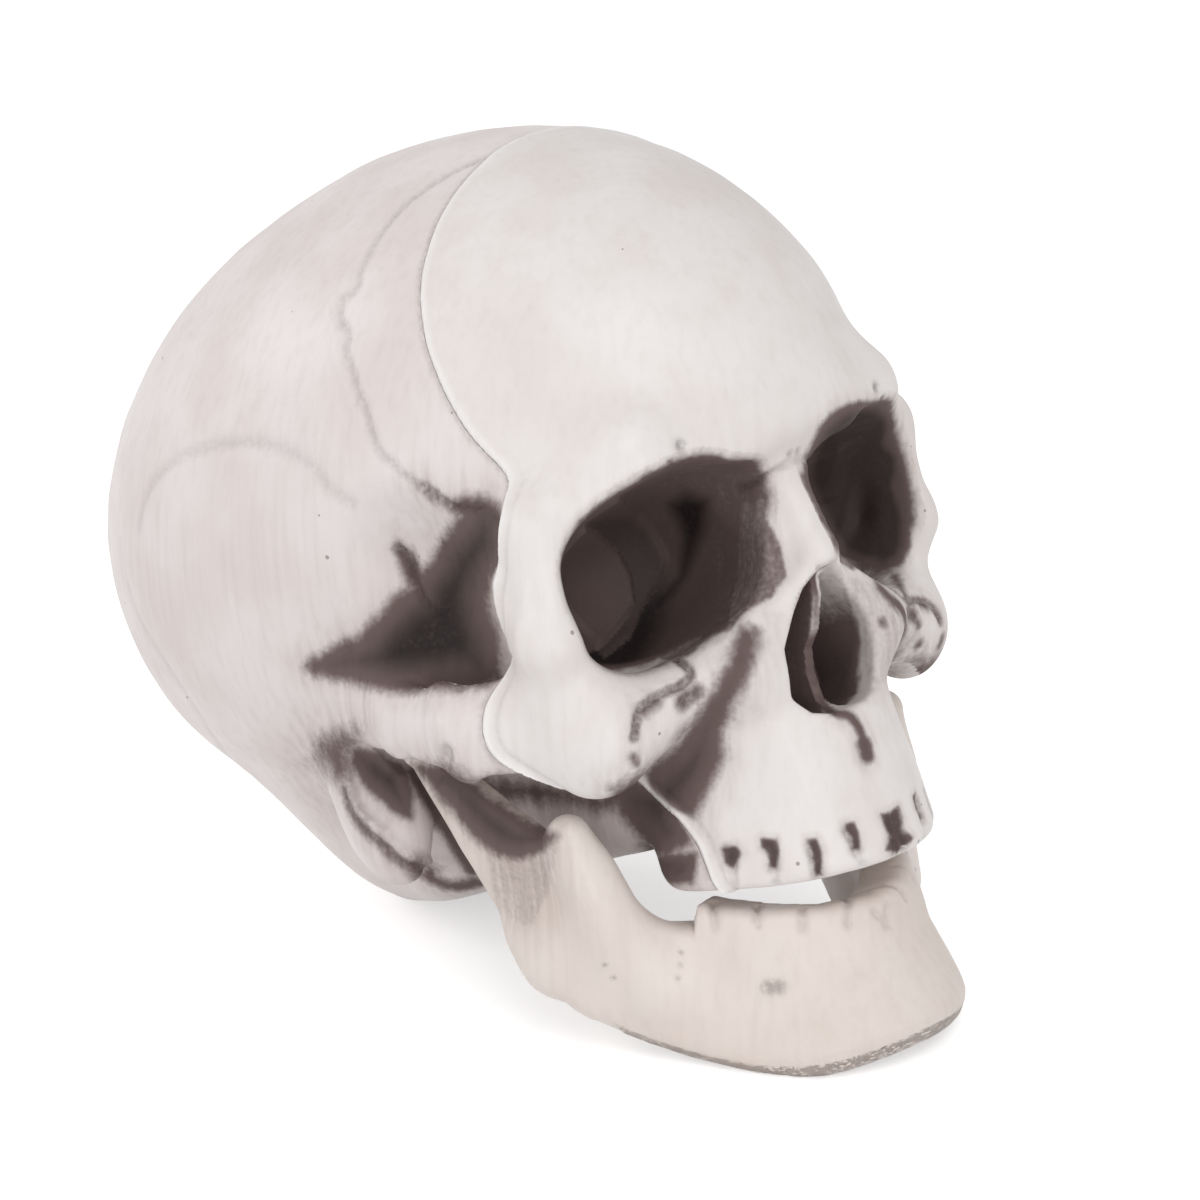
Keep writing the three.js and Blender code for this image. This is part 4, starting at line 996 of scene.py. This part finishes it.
def below_jaw_seam(offset):
    """Everything below the jaw's parting line, raised by an offset."""
    half = np.array(JAW_LINE[:-JAW_PATH_STEPS])
    mirrored = half[:0:-1] * (-1, 1, 1, 1)
    path = np.concatenate([mirrored, half])
    run = np.gradient(path[:, :2], axis=0)
    out = np.stack([-run[:, 1], run[:, 0]], 1) / np.linalg.norm(run, axis=1, keepdims=True)
    reach = 2 * JAW_HALF_THICKNESS
    rings = []
    for (side, fore, low, _), (out_side, out_fore) in zip(path, out):
        seam = low + JAW_SEAM_RISE + offset
        for outward, up in ((reach, seam), (reach, low - reach), (-reach, low - reach), (-reach, seam)):
            rings.append((side + out_side * outward, -(fore + out_fore * outward), up))
    faces = [(0, 1, 2, 3), tuple(len(rings) - 1 - k for k in range(4))]
    for start in range(0, len(rings) - 4, 4):
        for k in range(4):
            n = (k + 1) % 4
            faces.append((start + k, start + k + 4, start + n + 4, start + n))
    return mesh_object("below_seam", rings, faces)


def build_front():
    points, faces, tree, grooves = traced_net(front_outside, FRONT_GRID, FRONT_GROOVES)
    points = carved(stepped(points), front_outside, grooves)
    obj = mesh_object("front_shell_look", points, faces)
    boolean(obj, "DIFFERENCE", mesh_object("hollow", *surface_net(head_hollow, HOLLOW_GRID)))
    boolean(obj, "INTERSECT", front_room(0))
    paint(obj, tree, grooves, FRONT_AREAS, FRONT_STROKES, FRONT_FAR_AREAS, FRONT_SPOTS, face_hollows)
    return obj


def build_rear():
    points, faces, tree, grooves = traced_net(rear_outside, REAR_GRID, REAR_GROOVES)
    obj = mesh_object("rear_shell_look", carved(points, rear_outside, grooves), faces)
    boolean(obj, "DIFFERENCE", mesh_object("hollow", *surface_net(head_hollow, HOLLOW_GRID)))
    boolean(obj, "DIFFERENCE", front_room(-SEAM_GAP))
    paint(obj, tree, grooves, REAR_AREAS, REAR_STROKES)
    return obj


def build_jaw():
    points, faces, tree, grooves = traced_net(jaw, JAW_GRID, JAW_GROOVES)
    points = carved(points, jaw, grooves)
    shell = mesh_object("jaw_shell_look", points, faces)
    strip = mesh_object("jaw_strip_look", points, faces)
    boolean(shell, "DIFFERENCE", below_jaw_seam(0))
    boolean(strip, "INTERSECT", below_jaw_seam(-SEAM_GAP))
    for obj in (shell, strip):
        paint(obj, tree, grooves, JAW_AREAS, seam=False)
    return shell, strip


# Materials

PAINT_THIN, PAINT_THICK = (0.15, 0.108, 0.101), (0.024, 0.0185, 0.018)
# The dark line colour also paints the shade beside the seam
WASH, LINE_AND_SHADE, SPECK = (0.4, 0.32, 0.29), (0.06, 0.045, 0.042), (0.2, 0.16, 0.145)
# Colour of the painted highlight on the seam's bead
BEAD_HIGHLIGHT = (0.9, 0.885, 0.88)
# Each shell's plastic, and how strongly brush streaks tint it
FRONT_BONE, FRONT_STREAKS = (0.8, 0.76, 0.745), 0.1
REAR_BONE, REAR_STREAKS = (0.765, 0.705, 0.695), 0.15
JAW_BONE, JAW_STREAKS = (0.775, 0.7, 0.655), 0.12
CLOUDED = (0.93, 0.905, 0.89)
STREAK_TURN, STREAK_STRETCH = math.radians(-14.5), (1, 1, 0.05)
# Noise scales per metre, and how far noise shifts the paint's edge in mm
STREAK_SCALE, FINE_SCALE, CLOUD_SCALE, SPECK_SCALE = 480, 900, 38, 150.0
FINE_SHIFT, STREAK_SHIFT = 1.2, 0.9
# Depths in mm: paint covers between the first two, is thickest at the third, and its wash begins at the last
COVER_START, COVER_FULL, THICK_FULL, WASH_START = -1.8, 1.0, 7.5, -6
STEEL_PALE, STEEL_DARK = (0.36, 0.37, 0.39), (0.27, 0.275, 0.285)
RUBBER_DARK, RUBBER_PALE = (0.022, 0.022, 0.023), (0.04, 0.039, 0.038)


class Shader:
    """Nodes of a material or world. Values may be numbers, colours or other nodes' sockets."""

    def __init__(self, owner, surface="Principled BSDF"):
        owner.use_nodes = True
        self.owner = owner
        self.tree = owner.node_tree
        self.surface = self.tree.nodes[surface].inputs
        self.spot = self.node("TexCoord").outputs["Object"]

    def join(self, socket_in, value):
        if isinstance(value, bpy.types.NodeSocket):
            self.tree.links.new(value, socket_in)
        else:
            socket_in.default_value = value

    def put(self, name, value):
        self.join(self.surface[name], value)

    def node(self, kind, inputs=None, **settings):
        node = self.tree.nodes.new("ShaderNode" + kind)
        for key, value in settings.items():
            setattr(node, key, value)
        for key, value in (inputs or {}).items():
            self.join(node.inputs[key], value)
        return node

    def math(self, operation, *values):
        return self.node("Math", dict(enumerate(values)), operation=operation).outputs[0]

    def ramp(self, value, low, high, start=0.0, end=1.0):
        inputs = {"Value": value, "From Min": low, "From Max": high, "To Min": start, "To Max": end}
        return self.node("MapRange", inputs, interpolation_type="SMOOTHSTEP").outputs["Result"]

    def mix(self, factor, first, second):
        colours = [(*c, 1) if isinstance(c, tuple) else c for c in (first, second)]
        node = self.node("Mix", {0: factor, 6: colours[0], 7: colours[1]}, data_type="RGBA")
        return node.outputs[2]

    def noise(self, scale, detail=2.0, vector=None):
        inputs = {"Vector": vector or self.spot, "Scale": scale, "Detail": detail}
        return self.node("TexNoise", inputs).outputs[0]

    def attribute(self, name):
        return self.node("Attribute", attribute_name=name).outputs["Fac"]

    def bump(self, height, strength, distance):
        inputs = {"Height": height, "Strength": strength, "Distance": distance}
        self.put("Normal", self.node("Bump", inputs).outputs["Normal"])


def material_shader(name):
    return Shader(bpy.data.materials.new(name))


def bone_material(name, colour, streak_tint):
    """Bone-coloured plastic with dark paint brushed into its hollows, and a painted highlight and painted
    shade along the seam.
    """
    g = material_shader(name)
    clouded = tuple(c * f for c, f in zip(colour, CLOUDED))
    drawn = {"Vector": g.spot, "Rotation": (STREAK_TURN, 0, 0), "Scale": STREAK_STRETCH}
    streak = g.noise(STREAK_SCALE, 3, g.node("Mapping", drawn).outputs[0])
    fine = g.noise(FINE_SCALE, 3)
    cloud = g.noise(CLOUD_SCALE, 4)
    edge = g.math("MULTIPLY_ADD", g.math("SUBTRACT", fine, 0.5), FINE_SHIFT, g.attribute("paint"))
    edge = g.math("MULTIPLY_ADD", g.math("SUBTRACT", streak, 0.5), STREAK_SHIFT, edge)
    cover = g.ramp(edge, COVER_START, COVER_FULL)
    thick = g.ramp(edge, 0, THICK_FULL)
    plain = g.mix(g.ramp(cloud, 0.35, 0.7), colour, clouded)
    plain = g.mix(g.ramp(streak, 0.4, 0.85, 0, streak_tint), plain, WASH)
    washed = g.math("MULTIPLY", g.ramp(edge, WASH_START, 0.3, 0, 0.45), g.ramp(streak, 0.25, 0.75, 0.4, 1))
    plain = g.mix(washed, plain, WASH)
    dark = g.mix(thick, PAINT_THIN, PAINT_THICK)
    dark = g.mix(g.ramp(fine, 0.45, 0.8, 0, 0.18), dark, PAINT_THIN)
    face = g.mix(cover, plain, dark)
    # Dark lines: painted sutures, cracks and tooth gaps, and the painted shade beside the seam
    lines_and_shade = g.math("MULTIPLY", g.attribute("lines"), g.ramp(fine, 0.25, 0.6, 0.35, 1))
    face = g.mix(lines_and_shade, face, LINE_AND_SHADE)
    # Painted highlight along the seam's bead
    face = g.mix(g.attribute("painted_highlight"), face, BEAD_HIGHLIGHT)
    cells = g.node("TexVoronoi", {"Vector": g.spot, "Scale": SPECK_SCALE})
    chosen = g.node("SeparateColor", {"Color": cells.outputs["Color"]}).outputs[0]
    dot = g.math("LESS_THAN", cells.outputs["Distance"], g.ramp(chosen, 0.62, 1, 0.0, 0.07))
    face = g.mix(g.math("MULTIPLY", dot, g.ramp(cover, 0, 0.5, 0.7, 0)), face, SPECK)
    g.put("Base Color", face)
    rough = g.math("MULTIPLY_ADD", cover, 0.16, g.ramp(cloud, 0.3, 0.7, 0.4, 0.52))
    g.put("Roughness", rough)
    g.put("Specular IOR Level", g.ramp(cover, 0, 1, 0.42, 0.12))
    g.bump(g.math("ADD", g.math("MULTIPLY", streak, 0.6), fine), 0.12, 0.0006)
    return g.owner


def metal_material():
    g = material_shader("pin_steel_look")
    grain = g.noise(1400, 3, g.node("Mapping", {"Vector": g.spot, "Scale": (0.1, 1, 1)}).outputs[0])
    cloud = g.noise(220, 3)
    g.put("Base Color", g.mix(g.ramp(cloud, 0.3, 0.7), STEEL_PALE, STEEL_DARK))
    g.put("Roughness", g.ramp(grain, 0.2, 0.8, 0.28, 0.46))
    g.put("Metallic", 1)
    g.bump(grain, 0.1, 0.0002)
    return g.owner


def rubber_material():
    g = material_shader("washer_rubber_look")
    cloud, grain = g.noise(300, 3), g.noise(1800, 2)
    g.put("Base Color", g.mix(cloud, RUBBER_DARK, RUBBER_PALE))
    g.put("Roughness", g.ramp(grain, 0.2, 0.8, 0.75, 0.95))
    g.bump(grain, 0.2, 0.0002)
    return g.owner


def finish_piece(obj, material, body, slot, *nodes):
    place(obj)
    obj.data.materials.clear()
    obj.data.materials.append(material)
    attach(obj, body)
    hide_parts(*nodes)


front_bone = bone_material("front_plastic_look", FRONT_BONE, FRONT_STREAKS)
rear_bone = bone_material("rear_plastic_look", REAR_BONE, REAR_STREAKS)
jaw_bone = bone_material("jaw_plastic_look", JAW_BONE, JAW_STREAKS)
jaw_shell, jaw_strip = build_jaw()
finish_piece(build_front(), front_bone, "head", "head_plastic", "front_shell")
finish_piece(build_rear(), rear_bone, "head", "head_plastic", "rear_shell")
finish_piece(jaw_shell, jaw_bone, "jaw", "jaw_plastic", "jaw_shell")
finish_piece(jaw_strip, jaw_bone, "jaw", "jaw_plastic", "jaw_base_strip")

steel, rubber = metal_material(), rubber_material()
for name, node in frame["nodes"].items():
    if name.startswith(("hinge_pin", "push_nut", "friction_washer")):
        for material_slot in node.material_slots:
            material_slot.material = rubber if "washer" in name else steel


# Stage, in metres

FLOOR_REACH, FLOOR_GLOW = 4.0, 0.5
WORLD_LIGHT = 0.56
# Where each lamp stands, where it points, its size and its power
LAMPS = {
    "key": ((-0.55, -1.0, 1.35), (0, 0, 0.1), 0.9, 7.2),
    "side_fill": ((-1.5, 0.25, 0.45), (0, 0, 0.08), 0.9, 2.6),
    "low_fill": ((-0.5, -1.2, 0.08), (0, 0, 0.05), 0.5, 3.4),
    "back_fill": ((-0.8, 1.4, 0.9), (0, 0.05, 0.12), 0.8, 5.2),
}


def make_camera():
    data = bpy.data.cameras.new("camera")
    data.sensor_fit = "HORIZONTAL"
    data.sensor_width = 36
    data.lens = data.sensor_width * FOCAL_PIXELS / IMAGE_PIXELS
    data.clip_start = 0.01
    camera = scene_object("camera", data)
    turn = Matrix((CAMERA_RIGHT, CAMERA_TOP, CAMERA_BACK)).transposed().to_4x4()
    placed = TO_ROW @ Matrix.Translation(CAMERA_SPOT) @ turn
    camera.matrix_world = Matrix.LocRotScale(placed.to_translation(), placed.to_quaternion(), None)
    bpy.context.scene.camera = camera


def area_light(name, spot, aim, size, power):
    data = bpy.data.lights.new(name, "AREA")
    data.size = size
    data.energy = power
    lamp = scene_object(name, data)
    lamp.location = spot
    lamp.rotation_mode = "QUATERNION"
    lamp.rotation_quaternion = (Vector(aim) - Vector(spot)).to_track_quat("-Z", "Y")


def seen_directly(g):
    """1 where a surface is looked at or mirrored, 0 where it only lights the object."""
    rays = g.node("LightPath").outputs
    looked_at = g.math("MAXIMUM", rays["Is Camera Ray"], rays["Is Glossy Ray"])
    return g.math("MAXIMUM", looked_at, rays["Is Transmission Ray"])


def floor_material():
    """White paper that keeps a soft shadow."""
    g = material_shader("floor_white")
    g.put("Base Color", (0.9, 0.9, 0.9, 1))
    g.put("Roughness", 0.9)
    g.put("Specular IOR Level", 0.1)
    g.put("Emission Color", (1, 1, 1, 1))
    g.put("Emission Strength", g.math("MULTIPLY", seen_directly(g), FLOOR_GLOW))
    return g.owner


def make_world():
    world = bpy.data.worlds.new("studio")
    bpy.context.scene.world = world
    g = Shader(world, "Background")
    g.put("Color", (1, 1, 1, 1))
    g.put("Strength", g.ramp(seen_directly(g), 0, 1, WORLD_LIGHT, 1))


def make_stage():
    corners = [(FLOOR_REACH * x, FLOOR_REACH * y, 0) for x, y in ((-1, -1), (1, -1), (1, 1), (-1, 1))]
    floor = mesh_object("floor", corners, [(0, 1, 2, 3)])
    floor.data.materials.append(floor_material())
    make_world()
    for name, settings in LAMPS.items():
        area_light(name, *settings)
    bpy.context.scene.view_settings.view_transform = "Standard"


make_camera()
make_stage()
